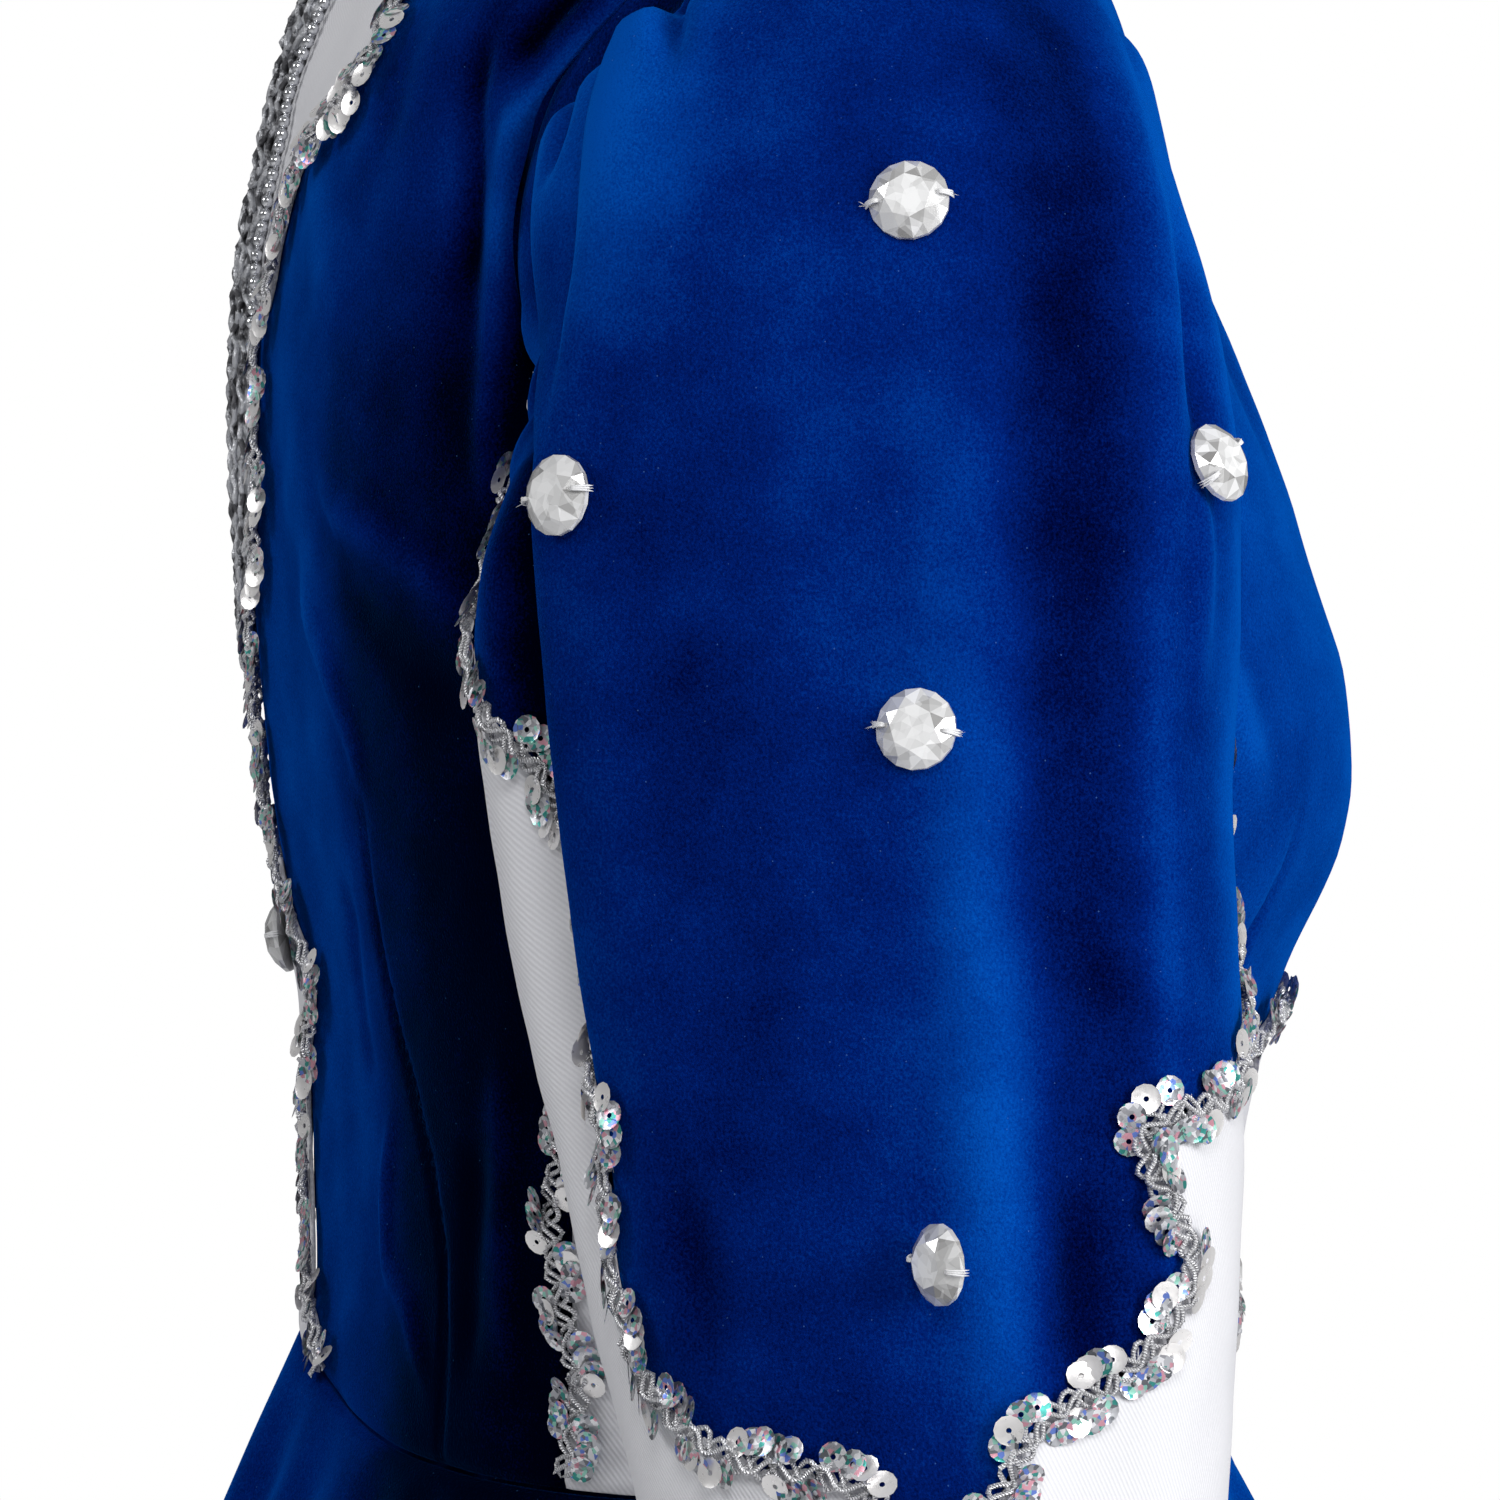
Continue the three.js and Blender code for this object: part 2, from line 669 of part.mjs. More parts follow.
const bodiceForm = formGrid(bodicePoint, evenly(-Math.PI, Math.PI, 36), evenly(0, 14, 14), [150, 28]);
const sleeveRows = [0, 0.4, 1, 1.8, 2.8, 3.9, 5.1, 6.4, 7.8, 9.3, 11, 13, 14.6, 16];
const sleeveForm = formGrid(sleevePoint, evenly(-Math.PI, Math.PI, 24), sleeveRows, [65, 38]);
const skirtForm = formGrid(skirtPoint, evenly(-Math.PI, Math.PI, 72), evenly(0, 1, 3), [150, 330]);

// ---- The dress ----------------------------------------------------------------------------------

const dress = new THREE.Group();

function addPiece(name, geometry, finish) {
  const piece = new THREE.Mesh(geometry, new THREE.MeshStandardMaterial(finish));
  piece.name = name;
  dress.add(piece);
}

function mirrored(geometry) {
  const positions = [...geometry.getAttribute('position').array];
  const flipped = positions.map((value, index) => (index % 3 === 0 ? -value : value));
  return geometryOf(flipped, [...geometry.getIndex().array].reverse());
}

function addPair(name, geometry, finish) {
  addPiece(name.replace('SIDE', 'left'), geometry, finish);
  addPiece(name.replace('SIDE', 'right'), mirrored(geometry), finish);
}

// Half a seam gap, as an angle on the bodice and the skirt.
const halfGap = SEAM_GAP / 2 / bodiceForm.scale[0];
const backEdgeAngle = Math.PI - 1.6 * halfGap;
const seamRings = [-0.5, 0, 2, 4, 5.5, 7, 8, 8.6, 9.4, 11, 14.5];
const frontSeam = seamRings.map((ring) => [radians(lookUp(BODICE_SEAMS, ring, 1)), ring]);
const backSeam = seamRings.map((ring) => [radians(lookUp(BODICE_SEAMS, ring, 2)), ring]);
const shifted = (line, by) => line.map(([around, ring]) => [around + by, ring]);
const otherSide = (line) => line.map(([around, ring]) => [-around, ring]).reverse();

const armholeOutline = (grow) => Array.from({ length: ARMHOLE.points }, (_, index) => {
  const spot = armholeSpot((2 * Math.PI * index) / ARMHOLE.points);
  const centre = [radians(98), ARMHOLE.ring];
  return [spot.around + Math.sign(spot.around - centre[0]) * grow, spot.ring];
});

// Bodice: front, side panels under the arms and the two backs.
{
  const armhole = armholeOutline(0);
  const edge = shifted(frontSeam, -halfGap);
  addPiece('bodice_front', cutPiece(bodiceForm, {
    keep: [...edge, ...otherSide(edge)],
    holes: [armhole, otherSide(armhole)],
  }), VELVET);
  addPair('bodice_back_SIDE', cutPiece(bodiceForm, {
    keep: [...shifted(backSeam, halfGap), [backEdgeAngle, 14.5], [backEdgeAngle, -0.5]],
    holes: [armhole],
  }), VELVET);
  const underArm = 8.4;
  const panel = [...shifted(frontSeam, halfGap), ...shifted(backSeam, -halfGap).reverse()];
  addPair('side_panel_SIDE', cutPiece(bodiceForm, {
    keep: panel.filter(([, ring]) => ring < underArm),
    holes: [armhole],
  }), TWILL);
}

// Skirt: one front and two backs, with seams at the sides and the centre back.
{
  const side = radians(90);
  addPiece('skirt_front', cutPiece(skirtForm, {
    keep: [[-side + halfGap, -0.5], [side - halfGap, -0.5], [side - halfGap, 1.5], [-side + halfGap, 1.5]],
  }), VELVET);
  const back = [[side + halfGap, -0.5], [backEdgeAngle, -0.5], [backEdgeAngle, 1.5], [side + halfGap, 1.5]];
  addPiece('skirt_back_left', cutPiece(skirtForm, { keep: back }), VELVET);
  addPiece('skirt_back_right', cutPiece(skirtForm, { keep: otherSide(back) }), VELVET);
}

// Sleeves: velvet above the shaped edge, twill below it and under the arm.
const sleeveLine = (steps) => smoothLine(SLEEVE_EDGE, steps).map(([turn, ring]) => [radians(turn), ring]);
const sleeveEdge = sleeveLine(1);
{
  const start = 2 * SEAM_GAP / sleeveForm.scale[1];
  const flat = toFlat(sleeveForm, sleeveEdge).map((spot) => new THREE.Vector2(...spot));
  const moved = (by) => flat.map((spot, index) => {
    const [before, after] = [flat[Math.max(index - 1, 0)], flat[Math.min(index + 1, flat.length - 1)]];
    const along = after.clone().sub(before).normalize();
    return [(spot.x - along.y * by) / sleeveForm.scale[0], (spot.y + along.x * by) / sleeveForm.scale[1]];
  });
  const velvetEdge = moved(SEAM_GAP / 2);
  const twillEdge = moved(-SEAM_GAP / 2);
  const underSeam = Math.PI - halfGap;
  const ends = sleeveEdge[0][0];
  const apart = SEAM_GAP / sleeveForm.scale[0];
  addPair('sleeve_SIDE_velvet', cutPiece(sleeveForm, {
    keep: [[ends - apart / 2, start], ...velvetEdge.slice(1, -1), [-ends + apart / 2, start]],
  }), VELVET);
  const twillStart = [[underSeam, start], [ends + apart, start]];
  const twillEnd = [[-ends - apart, start], [-underSeam, start]];
  addPair('sleeve_SIDE_twill', cutPiece(sleeveForm, {
    keep: [...twillStart, ...twillEdge.slice(1, -1), ...twillEnd, [-underSeam, 17], [underSeam, 17]],
  }), TWILL);
}

// Insets laid on the velvet, the lace band and its bead chains.
{
  const byHalf = (source, sign, atBack = false) => source.rows
    .map(([ring, half]) => [aroundAtX(sign * half, ring, atBack), ring]);
  const inset = { lift: LAYER_GAP, wall: INSET_WALL };
  addPiece('chest_inset', cutPiece(bodiceForm, {
    keep: [...byHalf(CHEST_INSET, 1), ...byHalf(CHEST_INSET, -1).reverse()],
    ...inset,
  }), TWILL);
  const lobe = [...byHalf(WAIST_INSET, 1), [0, 0], ...byHalf(WAIST_INSET, -1).reverse()];
  const dip = [0, WAIST_INSET.rows[0][0] - WAIST_INSET_DIP];
  addPiece('waist_inset', cutPiece(bodiceForm, { keep: [...lobe, dip], ...inset }), TWILL);
  const [backTop, backBottom] = [BACK_INSET.rows[0][0], BACK_INSET.rows[BACK_INSET.rows.length - 1][0]];
  addPair('back_inset_SIDE', cutPiece(bodiceForm, {
    keep: [...byHalf(BACK_INSET, 1, true), [backEdgeAngle, backBottom], [backEdgeAngle, backTop]],
    ...inset,
  }), TWILL);
  addPiece('centre_band', cutPiece(bodiceForm, {
    keep: [...byHalf(CENTRE_BAND, 1), ...byHalf(CENTRE_BAND, -1).reverse()],
    lift: OVER_INSET,
    wall: BAND_WALL,
  }), LACE);
}

// Silver braid over every shaped edge.
{
  const bodiceLine = (source, atBack = false) => smoothLine(source, 2)
    .map(([ring, x]) => [aroundAtX(x, ring, atBack), ring]);
  addPair('front_braid_SIDE', strip(bodiceForm, bodiceLine(FRONT_BRAID), { lift: OVER_INSET }), BRAID);
  const backEdge = table(['ring', 'offset'], BACK_INSET.rows.map(([ring, half]) => [ring, half + 5]));
  addPair('back_braid_SIDE', strip(bodiceForm, bodiceLine(backEdge, true), { lift: OVER_INSET }), BRAID);
  const bandEdge = CENTRE_BAND.rows.slice(0, 4).map(([ring, half]) => [aroundAtX(half + 2.4, ring), ring]);
  const beads = { lift: OVER_INSET, wall: BEAD_WIDTH, width: BEAD_WIDTH };
  addPair('bead_chain_SIDE', strip(bodiceForm, bandEdge, beads), BRAID);
  const sideRings = evenly(0.1, 6.9, 16);
  const sway = (ring) => radians(2.2 * Math.sin(ring * 2.4));
  const alongSeam = (column, sign) => sideRings
    .map((ring) => [radians(lookUp(BODICE_SEAMS, ring, column)) + sign * sway(ring), ring]);
  addPair('side_braid_front_SIDE', strip(bodiceForm, alongSeam(1, 1), {}), BRAID);
  addPair('side_braid_back_SIDE', strip(bodiceForm, alongSeam(2, -1), {}), BRAID);
  const sleeveBraid = sleeveLine(2).filter(([, ring]) => ring > 0.3);
  addPair('sleeve_braid_SIDE', strip(sleeveForm, sleeveBraid, {}), BRAID);
}

// Rhinestones: five on each sleeve, one on the waist in front and one beside the centre back.
SLEEVE_STONES.rows.forEach(([turn, ring, lift], index) => {
  addPair(`sleeve_stone_SIDE_${index + 1}`, stone(onForm(sleeveForm, radians(turn), ring), lift), STONE);
});
{
  const lift = LAYER_GAP + INSET_WALL + STONE_LIFT;
  const atBack = onForm(bodiceForm, aroundAtX(BACK_STONE_X, BACK_STONE_RING, true), BACK_STONE_RING);
  addPiece('waist_stone', stone(onForm(bodiceForm, 0, WAIST_STONE_RING), lift), STONE);
  addPiece('back_stone', stone(atBack, lift), STONE);
}

export default dress;
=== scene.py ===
"""Looks of a color guard dress: velvet and twill cloth, sequin braid, lace, beads and stones.

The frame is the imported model's, in metres. The wearer faces -Y, the wearer's left is +X and +Z is up.
Tables and forms are in millimetres; a mesh is scaled to metres when it is made.
"""

import math

import bpy
import numpy as np
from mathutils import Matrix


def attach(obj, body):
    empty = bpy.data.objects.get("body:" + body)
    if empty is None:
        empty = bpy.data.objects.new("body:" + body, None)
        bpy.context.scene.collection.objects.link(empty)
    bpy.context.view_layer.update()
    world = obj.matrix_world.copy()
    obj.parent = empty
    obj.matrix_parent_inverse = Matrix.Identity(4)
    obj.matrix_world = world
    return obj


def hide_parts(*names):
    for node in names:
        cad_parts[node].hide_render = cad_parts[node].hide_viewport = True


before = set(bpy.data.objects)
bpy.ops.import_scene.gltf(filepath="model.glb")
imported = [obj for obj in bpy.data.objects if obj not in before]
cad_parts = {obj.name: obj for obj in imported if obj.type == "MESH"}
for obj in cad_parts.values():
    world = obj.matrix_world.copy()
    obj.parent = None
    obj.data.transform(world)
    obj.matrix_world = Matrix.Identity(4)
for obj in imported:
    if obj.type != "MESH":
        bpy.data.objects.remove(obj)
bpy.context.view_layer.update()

# ---- Sizes, in millimetres ----------------------------------------------------------------------

CLOTH_WALL = 1.4
INSET_WALL = 0.9
LAYER = 0.4
CORD_RADIUS = 0.58
SEQUIN_RADIUS = 3.0
SEQUIN_HOLE = 0.55
SEQUIN_STEP = 2.9
BRAID_PERIOD = 20.5
CORD_WAVE = 9.3
BEAD_RADIUS = 1.45
STONE_RADIUS = 8.0
HEM_Z = -690.0
FLOOR_Z = -1400.0
FLOOR_REACH = 7000.0
SEAM_DEPTH = 1.0
SEAM_WIDTH = 1.5
# How strongly ridges are painted lighter and hollows darker on the velvet of the bodice and of the sleeve.
BODICE_CONTRAST = 0.11
SLEEVE_CONTRAST = 0.05
CORD_STEP = 1.05
BEAD_STEP = 3.05
BAND_CORD_WAVE = 10.5
SCALLOP = 7.5
SKIRT_FLARE = 25.0
HEM_FOLDS = 12
HEM_FOLD_DEPTH = 14.0
WAIST_PEAK = 26.0
WAIST_PEAK_SPREAD = 38.0
FRONT_RIDGE = 8.0
FRONT_RIDGE_SPREAD = 32.0
BACK_HOLLOW = 7.0
BACK_HOLLOW_SPREAD = 26.0

# Rings of the bodice from the waist seam to the neck edge: height in front, at the side and at the
# back, half-width, depth in front and at the back, and the exponent of the ring's outline.
BODICE = np.array([
    [-349, -356, -346, 131, 100, 105, 0.92],
    [-318, -328, -322, 133, 97.5, 106, 0.92],
    [-290, -297, -295, 137, 98, 108, 0.92],
    [-262, -266, -268, 143, 99.5, 112, 0.92],
    [-236, -238, -244, 149, 102.5, 120, 0.9],
    [-210, -212, -216, 154, 107, 132, 0.88],
    [-182, -184, -188, 158, 110, 133, 0.86],
    [-152, -153, -156, 160, 112, 124, 0.84],
    [-124, -121, -122, 161, 113.5, 112, 0.83],
    [-98, -86, -88, 163, 112.5, 98, 0.83],
    [-78, -52, -58, 166, 110, 88, 0.84],
    [-62, -28, -34, 166, 107, 80, 0.88],
    [-48, -11, -15, 138, 103.5, 74, 0.93],
    [-34, 6, 0, 106, 99.5, 69, 1],
    [-20, 22, 14, 76, 94, 64, 1],
])

# Side seams by ring: angle from the centre front of the front seam and of the back seam.
SIDE_SEAMS = np.array([[0, 66, 115], [4, 68, 112], [7, 74, 108], [8.6, 79, 104], [9.4, 90, 90], [14, 90, 90]])

ARMHOLE = {"middle": 11.0, "half": 59.0, "lean": 7.0, "ring": 9.05, "reach": 2.0}

# Rings of the left sleeve from the armhole to the wrist: outer point in x and z, inner point in x
# and z, front and back in y, lean, and the exponent of the ring's outline.
SLEEVE = np.array([
    [193, -17, 169, -166, -40, 73, 9, 0.97],
    [226, -21, 173, -177, -42, 82, 6, 0.97],
    [257, -42, 175, -190, -45, 90, 2, 0.93],
    [280, -77, 177, -205, -50, 96.5, 1, 0.88],
    [293, -119, 178, -224, -56, 98, 0, 0.82],
    [299, -163, 179, -247, -53, 96, 0, 0.82],
    [302, -207, 181, -272, -47, 97, 0, 0.82],
    [304, -249, 186, -298, -39, 98, 0, 0.83],
    [306, -290, 194, -324, -32, 96.5, 0, 0.84],
    [308, -331, 203, -353, -23, 94.5, 0, 0.86],
    [311, -372, 213, -386, -15, 91, 0, 0.88],
    [317, -416, 228, -426, -9, 84, 0, 0.9],
    [326, -464, 245, -471, -3, 74, 0, 0.92],
    [335, -513, 262, -518, 2, 65, 0, 0.95],
    [342, -556, 276, -559, 7, 58, 0, 1],
    [347, -590, 286, -592, 9, 54, 0, 1],
])

# Lengthwise folds of the sleeve: places by angle from the outer side towards the front and ring,
# depth and half-width in degrees.
SLEEVE_FOLDS = [
    ([(97, 2.3), (92, 2.9), (86, 3.4), (78, 3.9), (70, 4.4), (65.5, 5.0), (66.5, 6.0), (69.5, 7.0),
      (72, 7.8), (75, 9.4)], 12, 8.5),
    ([(-58, 3.0), (-59, 3.6), (-60.5, 4.3), (-62, 4.9), (-66, 5.7)], 5.5, 6.0),
    ([(142, 3), (150, 10)], 6, 14),
    ([(-148, 4), (-140, 11)], 6, 13),
]

# Gathers of the sleeve head: angle where each starts and where it ends, half-width in degrees,
# depth, and the rings between which it runs. One that starts off the seam has a rounded tip.
HEAD_GATHERS = [
    (4, 0, 6, 3.4, 0, 2.2), (20, 17, 6, 3.6, 0, 2.6), (30, 27, 3.6, 2.2, 0, 3.3),
    (39.5, 38.5, 5.6, 6.6, 2.72, 5.2), (64, 53, 6.0, 6.5, 2.4, 4.4), (82, 85, 4.5, 1.6, 0, 2.4),
    (96, 98, 4.5, 1.6, 0, 2.2), (109, 113, 5, 2.4, 0, 1.8), (125, 127, 6.5, 2.6, 0, 1.3),
    (-12, -14, 6, 3.4, 0, 1.9), (-30, -33, 6.5, 4.4, 0, 2.4), (-47, -50, 5.5, 3.2, 0, 1.8),
    (-63, -66, 6, 4.8, 0, 2.9), (-80, -84, 5, 3.8, 0, 2.0), (-96, -99, 6, 3.8, 0, 1.7),
    (-112, -114, 6, 2.6, 0, 1.2),
]

# Soft hollows (-) and swells (+) of the sleeve: angle, ring, half-width in degrees, half-length in
# rings and height.
SLEEVE_SWELLS = [
    (-31, 5.4, 15, 4.2, -5.0), (-10, 8.2, 8, 2.8, 3.4), (-46, 6.6, 9, 3.2, 2.2),
    (24, 8.0, 16, 3.6, -1.6), (-27, 9.1, 6, 0.55, -2.6), (41, 9.0, 6, 0.5, -2.6),
    (10, 5.0, 20, 2.6, 1.4), (44, 7.6, 9, 2.6, 1.2), (-48, 4.4, 5, 1.4, 2.2), (-60, 5.5, 4.5, 0.5, 2.6),
    (98, 2.75, 7, 0.22, 4.0), (97, 3.4, 7, 0.3, 3.6), (84, 4.3, 12, 0.9, -3.5),
    (120, 7.5, 12, 3.0, -3.0), (178, 8.0, 16, 3.0, -3.0), (-118, 8.5, 12, 2.6, 2.6),
    (60, 12.0, 12, 1.4, -2.4), (-40, 12.6, 14, 1.2, -2.2), (140, 12.4, 14, 1.6, -2.6),
    (0, 13.2, 12, 0.8, 1.8), (-100, 13.6, 13, 1.0, 2.0), (95, 14.2, 12, 0.8, 1.6),
    (150, 10.9, 30, 0.2, -2.2), (118, 11.5, 24, 0.18, 1.7), (172, 12.1, 34, 0.22, -2.4),
    (100, 12.7, 22, 0.2, 1.6), (-160, 11.4, 24, 0.2, -1.8), (35, 13.9, 30, 0.18, -1.5),
    (-60, 14.6, 34, 0.2, -1.7), (-20, 12.2, 24, 0.2, 1.4), (60, 11.6, 20, 0.22, -1.8),
    (178, 13.3, 26, 0.2, 1.5),
]

# Pinched valleys of the sleeve head: angle and ring where each starts and ends, half-width in
# degrees and depth.
HEAD_VALLEYS = [(34, 2.7, 29.5, 3.5, 2.2, 5.0), (55.5, 2.6, 56, 3.5, 1.9, 5.4), (24, 2.3, 22, 3.1, 2.4, 2.2)]

# Hollow between the armhole seam in front and the tips of the largest gathers.
HEAD_HOLLOW = {"turns": (34, 39), "end": (95, 110), "rings": (2.3, 2.95), "depth": 8.0}

# Edge between the velvet and the twill of the sleeve, by angle and ring, from the armhole in front
# round the tongue to the armhole at the back.
SLEEVE_EDGE = np.array([
    (117, 0), (117, 1), (113, 2.2), (104, 3.3), (96, 4.3), (90, 5), (84, 5.6), (78, 5.95), (71, 6.35),
    (68, 6.9), (69, 7.5), (66, 7.85), (60, 8.08), (57, 8.27), (58, 8.45), (61, 8.62), (63, 8.8),
    (63, 9), (62, 9.25), (61.5, 9.45), (58, 9.62), (53, 9.76), (46, 9.89), (38, 10.01), (30, 10.07),
    (22, 10.1), (14, 10.16), (8, 10.32), (1, 10.95), (-6, 10.4), (-10, 10.14), (-13.5, 9.95),
    (-20, 9.8), (-30, 9.7), (-38.5, 9.53), (-45, 9.36), (-49.5, 9.16), (-50, 8.96), (-46, 8.79),
    (-41.5, 8.65), (-39.5, 8.49), (-42, 8.35), (-49, 8.27), (-60, 8.16), (-71.5, 7.88), (-82, 7.55),
    (-92, 7.15), (-101, 6.55), (-109, 5.6), (-114, 4.4), (-116.5, 2.8), (-117, 1), (-117, 0),
])

# Stones of the sleeve: angle, ring, lift, turn in their own plane, and tip about the upright and
# about the level direction in degrees.
SLEEVE_STONES = [
    (-4, 4.35, 1.0, 4, 12, 4), (44, 5.4, 1.6, 8, 6, 0), (-59.5, 5.0, 3.4, 24, 30, -6),
    (-4, 6.7, 1.0, -6, 10, -3), (-2.5, 9.15, 5.2, -10, 48, 4),
]

# Laid pieces and the braid of the centre front and back: ring and half-width.
CHEST_INSET = [
    (14, 78), (13, 88), (12, 97), (11.4, 107), (10.95, 111), (10.72, 104), (10.52, 88), (10.36, 71),
    (10.15, 56), (9.7, 47), (9.2, 43), (8.9, 36),
]
WAIST_INSET = [
    (4.75, 6), (4.4, 9), (4.1, 14.5), (3.8, 22), (3.5, 25.5), (3.1, 20.5), (2.8, 13.5), (2.5, 7.5),
    (2.1, 3.5), (1.6, 3), (1.2, 3.8), (0.8, 7.5), (0.55, 16.5), (0.3, 21.5), (0, 24.5),
]
BACK_INSET = [
    (3.72, 3), (3.68, 20), (3.55, 40), (3.25, 56), (2.75, 65), (2.2, 67), (1.7, 61), (1.3, 49), (1, 34),
    (0.8, 16), (0.72, 3),
]
CENTRE_BAND = [
    (14, 27), (12, 28), (10, 28), (8.8, 28), (7.4, 24), (6.7, 13.5), (6.1, 5),
]
FRONT_BRAID = [
    (13.95, 82), (13, 92), (12, 101), (11.4, 111), (10.9, 116), (10.6, 108), (10.4, 92), (10.25, 75),
    (10.05, 60), (9.7, 52), (9.2, 48), (8.7, 38), (8.2, 34), (7.4, 31), (6.8, 24), (6.4, 17.5),
    (5.9, 13), (5.4, 10), (4.9, 10), (4.4, 13), (4.1, 19), (3.8, 27), (3.5, 30), (3.1, 25), (2.8, 18),
    (2.5, 12), (2.1, 7.5), (1.6, 7), (1.2, 8), (0.8, 12), (0.55, 21), (0.3, 26), (0.06, 29),
]

# Painted light (+) and painted shade (-) on the velvet of the sleeve: angle, ring, half-width in degrees,
# half-length in rings, and change.
SLEEVE_PAINTED_STROKES = [
    (-10, 8.5, 7, 2.2, 0.27), (-31, 5.6, 8, 3.6, -0.02), (-80, 6.2, 12, 2.2, 0.2),
    (-62, 3.2, 14, 1.4, 0.32), (60, 5.4, 6, 2.0, -0.22), (40, 3.2, 8, 0.9, 0.14),
    (12, 6.2, 20, 2.2, -0.06), (-46, 7.2, 4, 1.4, 0.18), (8, 10.1, 14, 0.7, -0.12),
    (44, 9.0, 8, 1.0, -0.12),
]

# The same painted light and shade for the bodice and, below ring 1, the skirt.
BODICE_PAINTED_STROKES = [
    (58, 9.45, 4.5, 0.5, 0.26), (41, 8.5, 8, 0.9, 0.1), (48, 7.6, 8, 0.8, 0.12), (22, 0.4, 14, 0.9, -0.08),
]

# Creases of the left bodice, by angle and ring, with width and height in millimetres. A minus
# height is a groove. The other side has the same creases.
BODICE_CREASES = [
    ([(60, 10.6), (59, 9.9), (60, 9.3), (60, 8.8), (61, 8.4)], 5.0, -3.6),
    ([(66, 10.2), (66, 9.6), (65, 8.9), (64, 8.2), (63, 7.7), (63, 6.9)], 5.5, 3.4),
    ([(82, 10.6), (76, 10.2), (70, 9.8), (64, 9.5)], 5.0, 4.2),
    ([(74, 10.8), (69, 10.4), (64, 10.1)], 4.5, -3.2),
    ([(78, 9.9), (72, 9.4), (69, 8.8), (69, 8.0), (68, 7.2)], 4.0, -3.0),
    ([(28, 7.6), (36, 7.2), (44, 7.0), (54, 6.7), (61, 6.4)], 5.0, 2.6),
    ([(34, 6.7), (44, 6.3), (54, 6.0), (62, 5.9)], 6.0, -2.0),
    ([(20, 6.8), (28, 6.2), (35, 5.5), (36, 5.0)], 4.0, 2.0),
    ([(35, 5.2), (33, 4.0), (36, 3.1), (42, 2.2), (44, 1.6), (45, -0.3)], 1.5, -2.0),
    ([(33, 2.7), (30, 1.9), (30, 1.4), (36, 1.1), (43, 0.4)], 3.4, 1.8),
    ([(52, 2.6), (50, 1.6), (49, 0.6)], 6.0, -1.8),
    ([(57, 3.4), (56, 2.0), (57, 0.5)], 7.0, 1.6),
    ([(26, 4.6), (24, 3.6), (27, 2.6)], 5.0, -1.2),
    ([(22, 10.6), (30, 9.4), (36, 8.4)], 12.0, 1.2),
    ([(48, 11.6), (46, 10.6), (44, 9.6)], 9.0, -1.4),
    ([(163, 9.4), (161, 8.2), (163, 7.4)], 7.0, -1.6),
    ([(134, 9.8), (138, 8.8), (146, 8.0)], 6.0, 2.6),
    ([(128, 9.0), (134, 8.0), (143, 7.2)], 6.0, -2.2),
    ([(125, 7.4), (134, 6.4), (142, 5.0)], 7.0, 2.2),
    ([(150, 5.2), (148, 4.0), (146, 2.6), (146, 1.0)], 1.6, -1.6),
    ([(170, 4.9), (172, 4.4), (176, 4.1)], 4.0, -1.6),
    ([(130, 4.4), (136, 3.4), (138, 2.2)], 6.0, -1.8),
]

# Cords of the braid: phase of their weave, its reach to the side, and height over the cloth.
CORDS = ((0.0, 2.5, 1.0), (math.pi, 2.5, 1.35), (math.pi / 2, 1.7, 1.9))

LAYER_OVER_INSET = 2 * LAYER + INSET_WALL
SIDES = (("left", False), ("right", True))

# Millimetres of cloth for a radian and for a ring of the bodice, and of the sleeve.
AROUND_MM, RING_MM = 150.0, 28.0
TURN_MM, SLEEVE_RING_MM = 65.0, 38.0

# ---- Curves through tables ----------------------------------------------------------------------


def rows_at(rows, place):
    """A smooth cubic through equally spaced rows at fractional places, straight past both ends."""
    last = len(rows) - 1
    padded = np.vstack([2 * rows[0] - rows[1], rows, 2 * rows[-1] - rows[-2]])
    at = np.clip(np.floor(place).astype(int), 0, last - 1)
    part = (place - at)[..., None]
    before, low, high, after = (padded[at + step] for step in range(4))
    return cubic(before, low, high, after, part)


def cubic(before, low, high, after, part):
    """The cubic from low to high whose slopes at the ends are half the steps across them."""
    slope_low, slope_high, rise = (high - before) / 2, (after - low) / 2, high - low
    third = slope_low + slope_high - 2 * rise
    return low + part * (slope_low + part * (3 * rise - 2 * slope_low - slope_high + part * third))


def smooth_line(rows, steps):
    """A table's rows as a smooth line with the given number of steps between rows."""
    rows = np.asarray(rows, float)
    return rows_at(rows, np.linspace(0, len(rows) - 1, (len(rows) - 1) * steps + 1))


def unit(vectors):
    return vectors / np.maximum(np.linalg.norm(vectors, axis=-1, keepdims=True), 1e-9)


def lengths_along(points, axis=0):
    """How far each point lies from the first, along a line or along one axis of a grid."""
    steps = np.diff(points, axis=axis, prepend=np.take(points, [0], axis=axis))
    return np.linalg.norm(steps, axis=-1).cumsum(axis=axis)


def even_line(line, spacing, surface):
    """The line again at even spacing over the surface, and how far along it each place lies."""
    along = lengths_along(surface(line[:, 0], line[:, 1]))
    count = max(2, int(round(along[-1] / spacing)) + 1)
    at = np.linspace(0, along[-1], count)
    return np.stack([np.interp(at, along, line[:, k]) for k in (0, 1)], axis=1), at


def signed_power(value, exponent):
    return np.sign(value) * np.abs(value) ** exponent


def bell(offset, width):
    return np.exp(-((offset / width) ** 2))


def step_between(value, low, high):
    """0 below low, 1 above high, and a smooth step between."""
    part = np.clip((value - low) / (high - low), 0, 1)
    return part * part * (3 - 2 * part)


